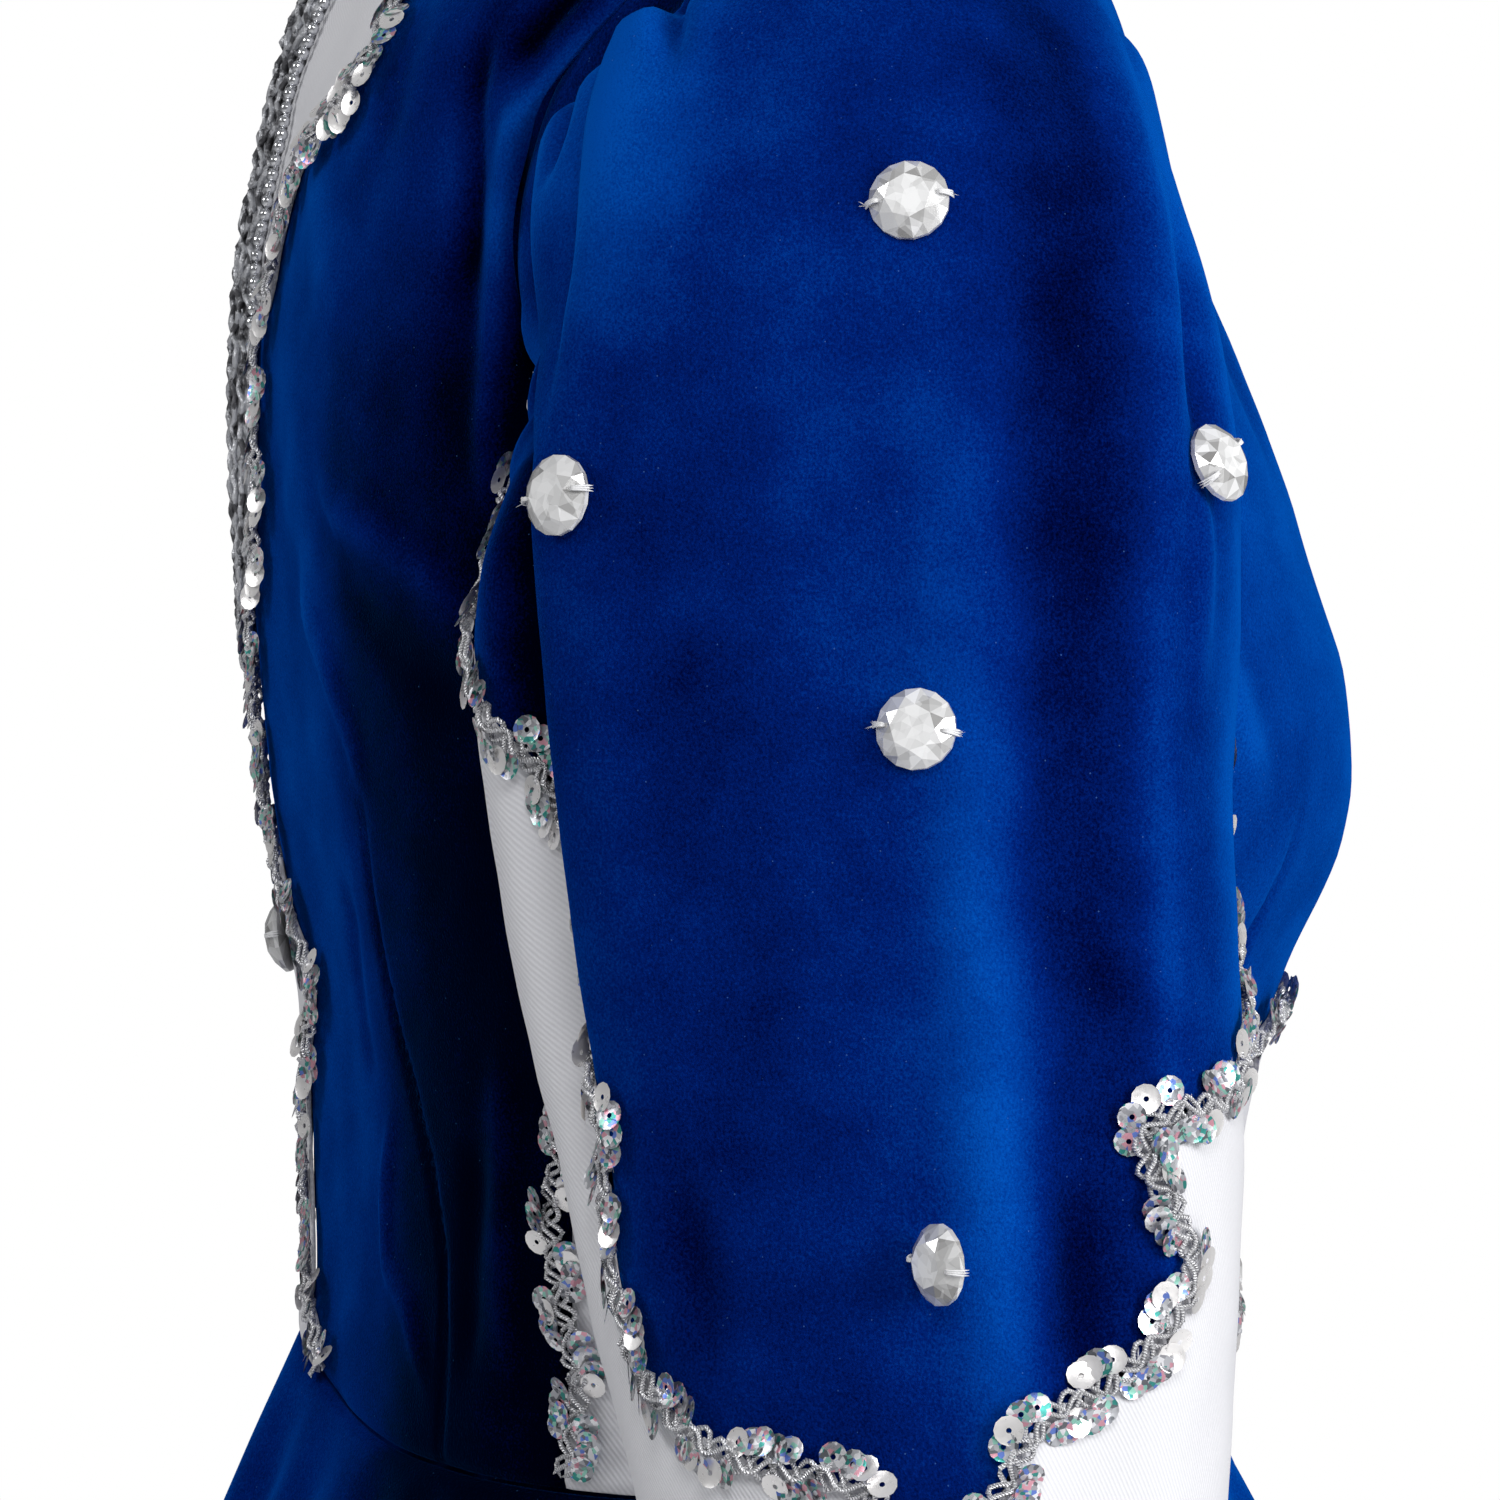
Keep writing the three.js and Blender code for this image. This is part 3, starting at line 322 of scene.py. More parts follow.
def wave_noise(a, b, seed, scale, octaves=3):
    """Soft uneven hills between about -1 and 1: sums of sine waves in random directions."""
    rng = np.random.default_rng(seed)
    total = np.zeros(np.broadcast(a, b).shape)
    weight = 0
    for octave in range(octaves):
        size = scale / 1.9**octave
        for _ in range(5):
            turn, shift = rng.uniform(0, 2 * math.pi, 2)
            stretch = rng.uniform(0.7, 1.4)
            along = (a * math.cos(turn) + b * math.sin(turn)) / size
            total += np.sin(along * stretch * 2 * math.pi + shift) / 2**octave
        weight += 5 / 2**octave
    return total / weight * 2.2


# ---- Forms of the cloth -------------------------------------------------------------------------


def bodice_depth(row, in_front):
    """Depth of a bodice ring in front or at the back, without the ridge and the hollow."""
    return np.where(in_front, row[..., 4] - FRONT_RIDGE, row[..., 5] + BACK_HOLLOW / 3)


def bodice_form(around, ring):
    """A ring of the bodice: x and y are powers of sine and cosine of the angle round it, and its
    height blends from the side to the middle with the cosine squared. A soft ridge runs down the
    centre front, and the waist seam rises to a peak there. A soft hollow runs down the centre back."""
    around, ring = np.broadcast_arrays(np.asarray(around, float), np.asarray(ring, float))
    row = rows_at(BODICE, ring)
    facing = np.cos(around)
    front = facing > 0
    depth = bodice_depth(row, front)
    middle = np.where(front, row[..., 0], row[..., 2])
    x = row[..., 3] * signed_power(np.sin(around), row[..., 6])
    at_front = FRONT_RIDGE * bell(x, FRONT_RIDGE_SPREAD)
    ridge = np.where(front, at_front, BACK_HOLLOW * bell(x, BACK_HOLLOW_SPREAD))
    y = -depth * signed_power(facing, row[..., 6]) - ridge
    peak = np.where(front, WAIST_PEAK * np.exp(-np.abs(x) / WAIST_PEAK_SPREAD), 0)
    z = row[..., 1] + (middle - row[..., 1]) * facing**2 + peak * np.clip(1 - ring, 0, None)
    return np.stack([x, y, z], axis=-1)


def around_at(x, ring, at_back=False):
    """The angle at which the bodice has the given offset in x, in front or at the back."""
    row = rows_at(BODICE, np.asarray(ring, float))
    angle = np.arcsin(np.clip((np.abs(x) / row[..., 3]) ** (1 / row[..., 6]), 0, 1)) * np.sign(x)
    return math.pi - angle if at_back else angle


def nearest_on(line, u, v):
    """The place of a line that is nearest to each point: its distance, how far along the line it lies
    from 0 to 1, and its two coordinates."""
    line = np.asarray(line, float)
    along = lengths_along(line)
    gap = np.full(u.shape, 1e9)
    share, near_u, near_v = np.zeros(u.shape), u, v
    for low, high, start, end in zip(line[:-1], line[1:], along[:-1], along[1:]):
        step = high - low
        part = np.clip(((u - low[0]) * step[0] + (v - low[1]) * step[1]) / max(step @ step, 1e-9), 0, 1)
        here_u, here_v = low[0] + part * step[0], low[1] + part * step[1]
        here = np.hypot(u - here_u, v - here_v)
        closer = here < gap
        gap = np.where(closer, here, gap)
        share = np.where(closer, (start + part * (end - start)) / along[-1], share)
        near_u, near_v = np.where(closer, here_u, near_u), np.where(closer, here_v, near_v)
    return gap, share, near_u, near_v


def bodice_relief(around, ring):
    """Height of the creases over the bodice: each is a bell across its line that fades at both ends,
    with soft uneven hills all over."""
    side = np.abs(around)
    u, v = side * AROUND_MM, ring * RING_MM
    height = 0.5 * wave_noise(u + 40 * (around < 0), v, 11, 60)
    for line, width, depth in BODICE_CREASES:
        flat = [(math.radians(a) * AROUND_MM, r * RING_MM) for a, r in line]
        gap, place, _, _ = nearest_on(flat, u, v)
        fade = step_between(place, -0.02, 0.25) * (1 - step_between(place, 0.72, 1.02))
        height = height + depth * bell(gap, width) * (0.25 + 0.75 * fade if width < 2 else fade)
    return height


def grid_normals(surface, a, b):
    """Unit normals of a surface from the cross product of its steps along both parameters."""
    step_a, step_b = 0.004, 0.02
    along_a = surface(a + step_a, b) - surface(a - step_a, b)
    along_b = surface(a, b + step_b) - surface(a, b - step_b)
    return unit(np.cross(along_a, along_b))


def bodice_cloth(around, ring):
    """The bodice form moved out along its own normal by the height of its creases."""
    point = bodice_form(around, ring)
    normal = grid_normals(bodice_form, around, ring)
    return point + normal * bodice_relief(around, ring)[..., None]


def armhole(turn):
    """Angle and ring of the bodice along its left armhole, by the angle from the top to the front."""
    ring = ARMHOLE["ring"] + ARMHOLE["reach"] * np.cos(turn)
    y = ARMHOLE["middle"] - ARMHOLE["half"] * np.sin(turn) + ARMHOLE["lean"] * np.cos(turn)
    row = rows_at(BODICE, ring)
    facing = -signed_power(y / bodice_depth(row, y < 0), 1 / row[..., 6])
    return np.arccos(np.clip(facing, -1, 1)), ring


def sleeve_ring(index, turn):
    """A ring of the left sleeve between its outer and inner points; ring 0 is the armhole seam."""
    row = SLEEVE[np.clip(index - 1, 0, len(SLEEVE) - 1)]
    outward = signed_power(np.cos(turn), row[..., 7])
    forward = signed_power(np.sin(turn), row[..., 7])
    x = (row[..., 0] + row[..., 2]) / 2 + (row[..., 0] - row[..., 2]) / 2 * outward
    y = (row[..., 4] + row[..., 5]) / 2 + row[..., 6] * outward - (row[..., 5] - row[..., 4]) / 2 * forward
    z = (row[..., 1] + row[..., 3]) / 2 + (row[..., 1] - row[..., 3]) / 2 * outward
    seam = bodice_form(*armhole(turn))
    return np.where((index <= 0)[..., None], seam, np.stack([x, y, z], axis=-1))


def sleeve_middle(ring):
    row = rows_at(SLEEVE, np.maximum(ring, 0.5) - 1)
    x, y, z = row[..., 0] + row[..., 2], row[..., 4] + row[..., 5], row[..., 1] + row[..., 3]
    return np.stack([x, y, z], axis=-1) / 2


def turn_gap(turn_degrees, place):
    return (turn_degrees - place + 180) % 360 - 180


def sleeve_relief(turn, ring):
    """Height over the sleeve: lengthwise folds are bells round it, gathers are rounded pleats that
    start at the armhole seam with sharp valleys between, and swells are soft hills."""
    turn_degrees = np.degrees(turn)
    height = 0.45 * wave_noise(turn * 60, ring * 38, 23, 70)
    for path, depth, width in SLEEVE_FOLDS:
        turns, rings = np.array(path, float).T
        place = np.interp(ring, rings, turns)
        ended = step_between(ring, rings[-1] - 1.6, rings[-1])
        run = step_between(ring, rings[0], rings[0] + 1.4) * (1 - ended)
        height = height - depth * bell(turn_gap(turn_degrees, place), width) * run
    for start, end, width, depth, low, high in HEAD_GATHERS:
        part = np.clip((ring - low) / (high - low), 0, 1)
        tip = 1 if low == 0 else np.sqrt(np.clip((ring - low) / 0.55, 1e-6, 1))
        spread = width * (1 + 0.25 * (ring - low)) * tip
        gap = turn_gap(turn_degrees, start + (end - start) * part) / spread
        pillow = np.sqrt(np.clip(1 - np.clip(np.abs(gap), 0, 1) ** 2.2, 0, 1))
        if low > 0:
            pillow = np.where(gap < 0, bell(gap, 2.6), pillow)
        run = step_between(ring, low, low + 0.3) * (1 - step_between(part, 0.5, 1))
        height = height + depth * pillow * run
    low, high = (step_between(turn_degrees, *HEAD_HOLLOW[end]) for end in ("turns", "end"))
    run = step_between(ring, 0, 0.8) * (1 - step_between(ring, *HEAD_HOLLOW["rings"]))
    height = height - HEAD_HOLLOW["depth"] * low * (1 - high) * run
    for start, low, end, high, width, depth in HEAD_VALLEYS:
        place = start + (end - start) * np.clip((ring - low) / (high - low), 0, 1)
        run = step_between(ring, low - 0.5, low) * (1 - step_between(ring, high - 0.35, high + 0.1))
        height = height - depth * bell(turn_gap(turn_degrees, place), width) * run
    for place, at, width, length, rise in SLEEVE_SWELLS:
        height = height + rise * bell(turn_gap(turn_degrees, place), width) * bell(ring - at, length)
    return height


def sleeve_cloth(turn, ring):
    """The left sleeve: a cubic along its rings, moved out from its middle line by its relief."""
    turn, ring = np.broadcast_arrays(np.asarray(turn, float), np.asarray(ring, float))
    last = len(SLEEVE)
    low = np.clip(np.floor(ring).astype(int), 0, last - 1)
    rings = [sleeve_ring(np.clip(low + step, 0, last), turn) for step in (-1, 0, 1, 2)]
    point = cubic(*rings, (ring - low)[..., None])
    return point + unit(point - sleeve_middle(ring)) * sleeve_relief(turn, ring)[..., None]


def fold_phase(around):
    return HEM_FOLDS * around + 0.9 * np.sin(2 * around + 0.5) + 0.6 * np.sin(5 * around)


def skirt_cloth(around, rise):
    """The skirt: it falls from the waist seam with a flare, in folds that deepen towards the hem."""
    around, rise = np.broadcast_arrays(np.asarray(around, float), np.asarray(rise, float))
    top = bodice_form(around, np.zeros_like(around))
    half, front = BODICE[0, 3], BODICE[0, 4]
    outward = unit(np.stack([top[..., 0] / half**2, top[..., 1] / front**2], axis=-1))
    drop = 1 - rise
    z = (top[..., 2] - 0.4) * rise + HEM_Z * drop
    flare = np.tan(np.radians(SKIRT_FLARE - 2 * np.cos(around) - 0.5 * np.cos(2 * around)))
    sway = 0.25 * np.sin(4 * drop + 3 * around) * drop
    fold = HEM_FOLD_DEPTH * (1 + 0.3 * np.sin(3 * around)) * np.cos(fold_phase(around) + sway)
    small = 1.6 * np.sin(31 * around + 1.5 * np.sin(7 * around)) * bell(drop, 0.35)
    small = small * step_between(drop, 0, 0.08)
    reach = (top[..., 2] - z) * flare + fold * drop**1.3 + small
    level = top[..., :2] + outward * reach[..., None]
    return np.concatenate([level, z[..., None]], axis=-1)


# ---- Meshes -------------------------------------------------------------------------------------


def make_mesh(name, points, faces, material, uv=None, shade=None, flip=False):
    """A mesh object in metres from millimetre points and equal-sided faces, with an optional map of
    flat millimetres and an optional value for each face. flip puts it on the wearer's other side."""
    mesh = bpy.data.meshes.new(name)
    points, faces = np.asarray(points, np.float32) * 0.001, np.asarray(faces, np.int32)
    if flip:
        points, faces = points * np.float32([-1, 1, 1]), faces[:, ::-1]
    sides = faces.shape[1]
    mesh.vertices.add(len(points))
    mesh.vertices.foreach_set("co", points.ravel())
    mesh.loops.add(faces.size)
    mesh.loops.foreach_set("vertex_index", faces.ravel())
    mesh.polygons.add(len(faces))
    mesh.polygons.foreach_set("loop_start", np.arange(len(faces), dtype=np.int32) * sides)
    mesh.polygons.foreach_set("use_smooth", np.ones(len(faces), bool))
    mesh.update(calc_edges=True)
    if uv is not None:
        layer = mesh.uv_layers.new(name="flat")
        layer.uv.foreach_set("vector", np.asarray(uv, np.float32)[faces.ravel()].ravel())
    if shade is not None:
        layer = mesh.attributes.new("shade", "FLOAT", "FACE")
        layer.data.foreach_set("value", np.asarray(shade, np.float32))
    mesh.validate()
    piece = bpy.data.objects.new(name, mesh)
    bpy.context.collection.objects.link(piece)
    mesh.materials.append(material)
    return piece


def grid_faces(rows, columns, closed=False):
    """Quads of a grid whose point (row, column) is numbered row by row, with columns joined if closed."""
    across = columns if closed else columns - 1
    j, i = np.meshgrid(np.arange(rows - 1), np.arange(across), indexing="ij")
    right = (i + 1) % columns
    here, next_row = j * columns, (j + 1) * columns
    return np.stack([here + i, here + right, next_row + right, next_row + i], axis=-1).reshape(-1, 4)


def give_wall(piece, wall):
    """Gives a sheet its thickness inwards."""
    solid = piece.modifiers.new("wall", "SOLIDIFY")
    solid.thickness = wall * 0.001
    solid.offset = -1
    solid.use_even_offset = False


def add_piece(node, part, slot, points, faces, uv, shade=None, flip=False):
    """A visible piece, or one of several, that stands for a node of the CAD model."""
    piece = make_mesh(f"{node}_{part}", points, faces, FINISHES[slot], uv, shade, flip)
    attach(piece, "root")
    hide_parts(node)
    return piece


# ---- Materials ----------------------------------------------------------------------------------


class Value:
    """An output of a node. Sums, differences and products add Math nodes."""

    def __init__(self, finish, socket):
        self.finish = finish
        self.socket = socket

    def math(self, operation, first, second):
        return self.finish.node("ShaderNodeMath", {"operation": operation}, {0: first, 1: second})

    def __add__(self, other):
        return self.math("ADD", self, other)

    __radd__ = __add__

    def __sub__(self, other):
        return self.math("SUBTRACT", self, other)

    def __rsub__(self, other):
        return self.math("SUBTRACT", other, self)

    def __mul__(self, other):
        return self.math("MULTIPLY", self, other)

    def sine(self):
        return self.math("SINE", self, 0.0)

    def above(self, edge, width):
        """0 below edge and 1 past it, with a soft step as wide as width."""
        low, high = edge - width / 2, edge + width / 2
        settings = {"interpolation_type": "SMOOTHSTEP"}
        sockets = {"Value": self, "From Min": low, "From Max": high}
        return self.finish.node("ShaderNodeMapRange", settings, sockets)


class Finish:
    """The nodes of a material, ended by surface(), or of a world."""

    def __init__(self, name, world=False):
        self.owner = (bpy.data.worlds if world else bpy.data.materials).new(name)
        self.owner.use_nodes = True
        self.tree = self.owner.node_tree
        self.tree.nodes.clear()

    def node(self, kind, settings=None, sockets=None, out=0):
        """A node of that kind, with its settings set first, then the values or links of its sockets."""
        node = self.tree.nodes.new(kind)
        for name, value in (settings or {}).items():
            setattr(node, name, value)
        for name, value in (sockets or {}).items():
            if isinstance(value, Value):
                self.tree.links.new(value.socket, node.inputs[name])
            else:
                node.inputs[name].default_value = value
        return Value(self, node.outputs[out])

    def object_place(self):
        return self.node("ShaderNodeTexCoord", out="Object")

    def flat_place(self):
        """The piece's own map, in millimetres on the cloth, as two values."""
        place = self.node("ShaderNodeUVMap", {"uv_map": "flat"})
        split = self.node("ShaderNodeSeparateXYZ", {}, {0: place})
        return split, Value(self, split.socket.node.outputs[1])

    def attribute(self, name):
        return self.node("ShaderNodeAttribute", {"attribute_name": name}, out="Fac")

    def noise(self, scale, detail=2.0, place=None, roughness=0.5):
        place = place or self.object_place()
        sockets = {"Vector": place, "Scale": scale, "Detail": detail, "Roughness": roughness}
        return self.node("ShaderNodeTexNoise", {}, sockets)

    def cells(self, scale, out="Distance", feature="F1", place=None):
        place = place or self.object_place()
        sockets = {"Vector": place, "Scale": scale}
        return self.node("ShaderNodeTexVoronoi", {"feature": feature}, sockets, out=out)

    def mix(self, factor, low, high):
        """Low where the factor is 0 and high where it is 1, as colours."""
        return self.node("ShaderNodeMix", {"data_type": "RGBA"}, {0: factor, 6: low, 7: high}, out=2)

    def ramp(self, factor, stops, interpolation="LINEAR"):
        """Colours by the factor, each stop given as its place and its colour."""
        ramp = self.node("ShaderNodeValToRGB", {}, {0: factor})
        steps = ramp.socket.node.color_ramp
        steps.interpolation = interpolation
        while len(steps.elements) < len(stops):
            steps.elements.new(0.5)
        for element, (place, tone) in zip(steps.elements, stops):
            element.position = place
            element.color = colour(*tone)
        return ramp

    def bump(self, height, strength, distance):
        return self.node("ShaderNodeBump", {}, {"Height": height, "Strength": strength, "Distance": distance})

    def surface(self, **sockets):
        named = {name.replace("_", " "): value for name, value in sockets.items()}
        shader = self.node("ShaderNodeBsdfPrincipled", {}, named, out="BSDF")
        return self.end("ShaderNodeOutputMaterial", shader)

    def end(self, kind, shader):
        self.tree.links.new(shader.socket, self.tree.nodes.new(kind).inputs["Surface"])
        return self.owner


def colour(red, green, blue):
    return (red, green, blue, 1.0)


def velvet_finish():
    """Pile velvet: blue by a ramp over painted light and shade, lighter on ridges and darker in hollows
    and on shaded sides, with a painted sheen that lightens the rims where the surface turns from the view,
    mottled pile and a few specks."""
    finish = Finish("velvet")
    # Painted light and shade of each piece, with broad patches of pile tone.
    pile_and_painted_shade = finish.attribute("pile_and_painted_shade")
    mottle = finish.noise(55.0, 3.0)
    grain = finish.noise(1700.0, 3.0, roughness=0.65)
    # Painted sheen: the rims, where the surface turns away from the view, are painted lighter.
    rim = finish.node("ShaderNodeLayerWeight", {}, {"Blend": 0.5}, out="Facing")
    shade = pile_and_painted_shade + (mottle - 0.5) * 0.4 + (grain - 0.5) * 0.8 + rim * rim * rim * 0.45
    # Deep navy where shade is painted and bright blue where light is painted.
    base = finish.ramp(shade, (
        (0.0, (0.0, 0.0003, 0.006)), (0.22, (0.0001, 0.0030, 0.050)), (0.5, (0.0002, 0.0130, 0.150)),
        (0.8, (0.0003, 0.0420, 0.290)), (1.0, (0.0008, 0.0700, 0.400)),
    ))
    specks = 1 - finish.cells(260.0).above(0.04, 0.03)
    base = finish.mix(specks * 0.3, base, colour(0.1, 0.25, 0.6))
    pile = grain * 0.7 + finish.noise(2600.0, 1.0) * 0.5
    return finish.surface(
        Base_Color=base,
        Roughness=0.95,
        Specular_IOR_Level=0.0,
        Sheen_Weight=0.22,
        Sheen_Roughness=0.36,
        Sheen_Tint=colour(0.0, 0.22, 0.80),
        Normal=finish.bump(pile, 0.6, 0.0006),
    )


def twill_finish():
    """White twill: diagonal ribs 1.2 mm apart on the cloth, crossed by a fine yarn grain."""
    finish = Finish("twill")
    across, along = finish.flat_place()
    wobble = finish.noise(60.0, 2.0) * 1.2
    ribs = ((across * 0.9 + along * 0.75 + wobble) * (2 * math.pi / 1.25)).sine() * 0.5 + 0.5
    yarn = finish.noise(2200.0, 2.0)
    tone = ribs * 0.45 + yarn * 0.35 + finish.noise(25.0, 2.0) * 0.4
    base = finish.mix(tone, colour(0.60, 0.60, 0.635), colour(0.82, 0.82, 0.85))
    return finish.surface(
        Base_Color=base,
        Roughness=0.78,
        Specular_IOR_Level=0.25,
        Sheen_Weight=0.15,
        Normal=finish.bump(ribs * 0.8 + yarn * 0.3, 0.35, 0.0003),
    )


def cord_finish():
    """Metallic cord: threads wound along it at a slant, with a painted highlight on their backs and painted
    shade between.
    """
    finish = Finish("braid")
    along, around = finish.flat_place()
    thread_relief_and_light = ((along * 1.6 + around) * 2 * math.pi).sine() * 0.5 + 0.5
    fleck = finish.noise(1500.0, 2.0)
    # Painted highlight on the threads' backs and painted shade between them.
    base = finish.mix(thread_relief_and_light * 0.75 + fleck * 0.5, colour(0.40, 0.40, 0.42), colour(0.96, 0.96, 0.98))
    return finish.surface(
        Base_Color=base,
        Metallic=0.7,
        Roughness=0.28 + fleck * 0.2,
        Normal=finish.bump(thread_relief_and_light + fleck * 0.6, 0.75, 0.0004),
    )


def sequin_finish():
    """Flat sequins: silver, some plain and some with small flecks of pink, green, blue and grey."""
    finish = Finish("sequins")
    shade = finish.attribute("shade")
    hue = finish.cells(1000.0, out="Color")
    split = finish.node("ShaderNodeSeparateColor", {"mode": "RGB"}, {0: hue})
    ramp = finish.ramp(split, (
        (0.0, (0.60, 0.61, 0.64)), (0.24, (0.17, 0.18, 0.20)), (0.36, (0.78, 0.38, 0.46)),
        (0.48, (0.05, 0.34, 0.30)), (0.56, (0.16, 0.26, 0.72)), (0.64, (0.98, 0.98, 1.0)),
        (0.80, (0.34, 0.70, 0.58)), (0.88, (0.42, 0.42, 0.45)),
    ), "CONSTANT")
    plain = shade.above(0.72, 0.02)
    tone = finish.mix(shade * 1.3, colour(0.72, 0.72, 0.74), colour(1.0, 1.0, 1.0))
    multiply = {"data_type": "RGBA", "blend_type": "MULTIPLY"}
    tinted = finish.node("ShaderNodeMix", multiply, {0: 1.0, 6: ramp, 7: tone}, out=2)
    base = finish.mix(plain, tinted, colour(0.95, 0.93, 0.92))
    ray = finish.noise(700.0, 1.0)
    return finish.surface(
        Base_Color=base,
        Metallic=0.6,
        Roughness=0.2 + ray * 0.22,
        Normal=finish.bump(ray, 0.15, 0.0003),
    )


def lace_finish():
    """Metallic lace: dark net with silver thread on its motifs."""
    finish = Finish("lace")
    motif = finish.cells(230.0, feature="SMOOTH_F1")
    thread = finish.noise(1300.0, 3.0)
    silver = (motif + thread * 0.5).above(0.62, 0.2)
    base = finish.mix(silver, colour(0.12, 0.12, 0.13), colour(0.66, 0.67, 0.70))
    return finish.surface(
        Base_Color=base,
        Metallic=0.75,
        Roughness=0.3 + thread * 0.25,
        Normal=finish.bump(motif * 1.2 + thread * 0.6, 0.9, 0.0008),
    )


def stone_finish():
    """Clear foil-backed stone: each facet has a painted brightness, with painted streaks, that stands in for
    its reflections, under a glossy coat.
    """
    finish = Finish("crystal")
    shade = finish.attribute("shade")
    # Painted streaks of reflection over the facets.
    painted_glint_streak = finish.cells(330.0, out="Color")
    split = finish.node("ShaderNodeSeparateColor", {"mode": "RGB"}, {0: painted_glint_streak})
    tone = shade + (split - 0.5) * 0.32
    base = finish.mix(tone, colour(0.24, 0.235, 0.23), colour(1.0, 1.0, 1.0))
    coat = {"Coat_Weight": 0.8, "Coat_Roughness": 0.03, "Coat_IOR": 1.6}
    return finish.surface(Base_Color=base, Metallic=0.15, Roughness=0.14, **coat)


def plain_finish(name, tone, roughness, metallic=0.0):
    finish = Finish(name)
    fuzz = finish.noise(1800.0, 2.0)
    base = finish.mix(fuzz, colour(*(0.8 * t for t in tone)), colour(*tone))
    normal = finish.bump(fuzz, 0.3, 0.0003)
    return finish.surface(Base_Color=base, Roughness=roughness, Metallic=metallic, Normal=normal)


# The finish of each slot.
FINISHES = {
    "velvet": velvet_finish(),
    "twill": twill_finish(),
    "braid": cord_finish(),
    "sequins": sequin_finish(),
    "lace": lace_finish(),
    "crystal": stone_finish(),
    "beads": plain_finish("beads", (0.78, 0.79, 0.82), 0.14, 1.0),
    "thread": plain_finish("thread", (0.85, 0.85, 0.86), 0.8),
}

# ---- Cloth pieces -------------------------------------------------------------------------------


def edge_spaced(count, length):
    """Places from 0 to 1 across a piece of that length in millimetres, closer together at its edges."""
    ends = np.array([0, 0.5, 1.1, 1.9, 3.0]) / length
    middle = np.linspace(4.4 / length, 1 - 4.4 / length, count)
    return np.concatenate([ends, middle, 1 - ends[::-1]])


def seam_dip(points, sides):
    """How far a grid dips beside its seams: a bell of the distance along the cloth from each side
    that is named, of low_a, high_a, low_b and high_b."""
    across, along = lengths_along(points, 1), lengths_along(points, 0)
    gaps = {"low_a": across, "high_a": across[:, -1:] - across, "low_b": along, "high_b": along[-1:] - along}
    return -SEAM_DEPTH * sum((bell(gaps[side], SEAM_WIDTH) for side in sides), np.zeros(across.shape))


def own_normals(points):
    """Unit normals of a grid from its own steps."""
    return unit(np.cross(np.gradient(points, axis=1), np.gradient(points, axis=0)))


def flat_map(points):
    """Millimetres on the cloth across and along a grid, measured from its middle column and first row."""
    across, along = lengths_along(points, 1), lengths_along(points, 0)
    across = across - across[:, across.shape[1] // 2][:, None]
    along = np.repeat(along.mean(axis=1, keepdims=True), points.shape[1], axis=1)
    return np.stack([across, along], axis=-1)


# Stores the painted light and shade, with pile tone, on each point of a velvet piece.
def give_pile_and_painted_shade(piece, pile_and_painted_shade):
    layer = piece.data.attributes.new("pile_and_painted_shade", "FLOAT", "POINT")
    layer.data.foreach_set("value", np.asarray(pile_and_painted_shade, np.float32).ravel())


def painted_relief_shade_and_patches(points, relief, contrast):
    """Painted light and shade of the velvet: lighter on ridges and darker in hollows, with broad soft patches
    of pile tone.
    """
    flat = points.reshape(-1, 3)
    patches = wave_noise(flat[:, 1] + 0.3 * flat[:, 0], flat[:, 2] * 0.5, 5, 140, 2)
    return 0.45 + contrast * np.asarray(relief).ravel() + 0.08 * patches


def bodice_painted_light_and_shade(around, ring):
    """Painted shade from the front quarter to the side, below the bust, and painted light behind."""
    off_middle = np.degrees(np.abs(around))
    side = step_between(off_middle, 22, 40) * (1 - step_between(off_middle, 105, 125))
    behind = step_between(off_middle, 105, 130)
    sides = -0.42 * side * (1 - step_between(ring, 7.6, 9.4)) - 0.06 + 0.2 * behind
    return (sides + strokes_of(BODICE_PAINTED_STROKES, off_middle, ring)).ravel()


def strokes_of(strokes, turn_degrees, ring):
    """The sum of the strokes: a bell of painted light or painted shade at each."""
    return sum(rise * bell(turn_gap(turn_degrees, place), width) * bell(ring - at, length)
               for place, at, width, length, rise in strokes)


def declare_sheet(area, width, length):
    area = min(area, width * length)


def cloth_piece(
    node, slot, surface, a, b, seams=(), relief=None, held="stretched", flip=False, part="cloth",
    wall=CLOTH_WALL, lift=0.0,
):
    """A sheet of cloth over a grid of a form, dipping at its seams, with its wall turned inwards."""
    a, b = np.broadcast_arrays(a, b)
    points = surface(a, b)
    points = points + own_normals(points) * (lift + seam_dip(points, seams))[..., None]
    cells = np.cross(points[:-1, 1:] - points[:-1, :-1], points[1:, :-1] - points[:-1, :-1])
    area = np.linalg.norm(cells, axis=-1).sum() * 1e-6
    flat = flat_map(points)
    width, length = np.ptp(flat[..., 0], axis=1).max() * 0.001, np.ptp(flat[..., 1], axis=0).max() * 0.001
    shape = (points.reshape(-1, 3), grid_faces(*a.shape), flat.reshape(-1, 2))
    piece = add_piece(node, part, slot, *shape, flip=flip)
    if slot == "velvet":
        # Velvet gets painted light and shade: lighter ridges, darker hollows, shaded sides and painted
        # strokes.
        give_pile_and_painted_shade(piece, painted_relief_shade_and_patches(points, relief(a, b), BODICE_CONTRAST) + bodice_painted_light_and_shade(a, b))
    give_wall(piece, wall)
    declare_sheet(area, width, length)


def side_seams(ring):
    """Angles of the front and the back side seam at a bodice ring."""
    return np.radians([np.interp(ring, SIDE_SEAMS[:, 0], SIDE_SEAMS[:, k]) for k in (1, 2)])


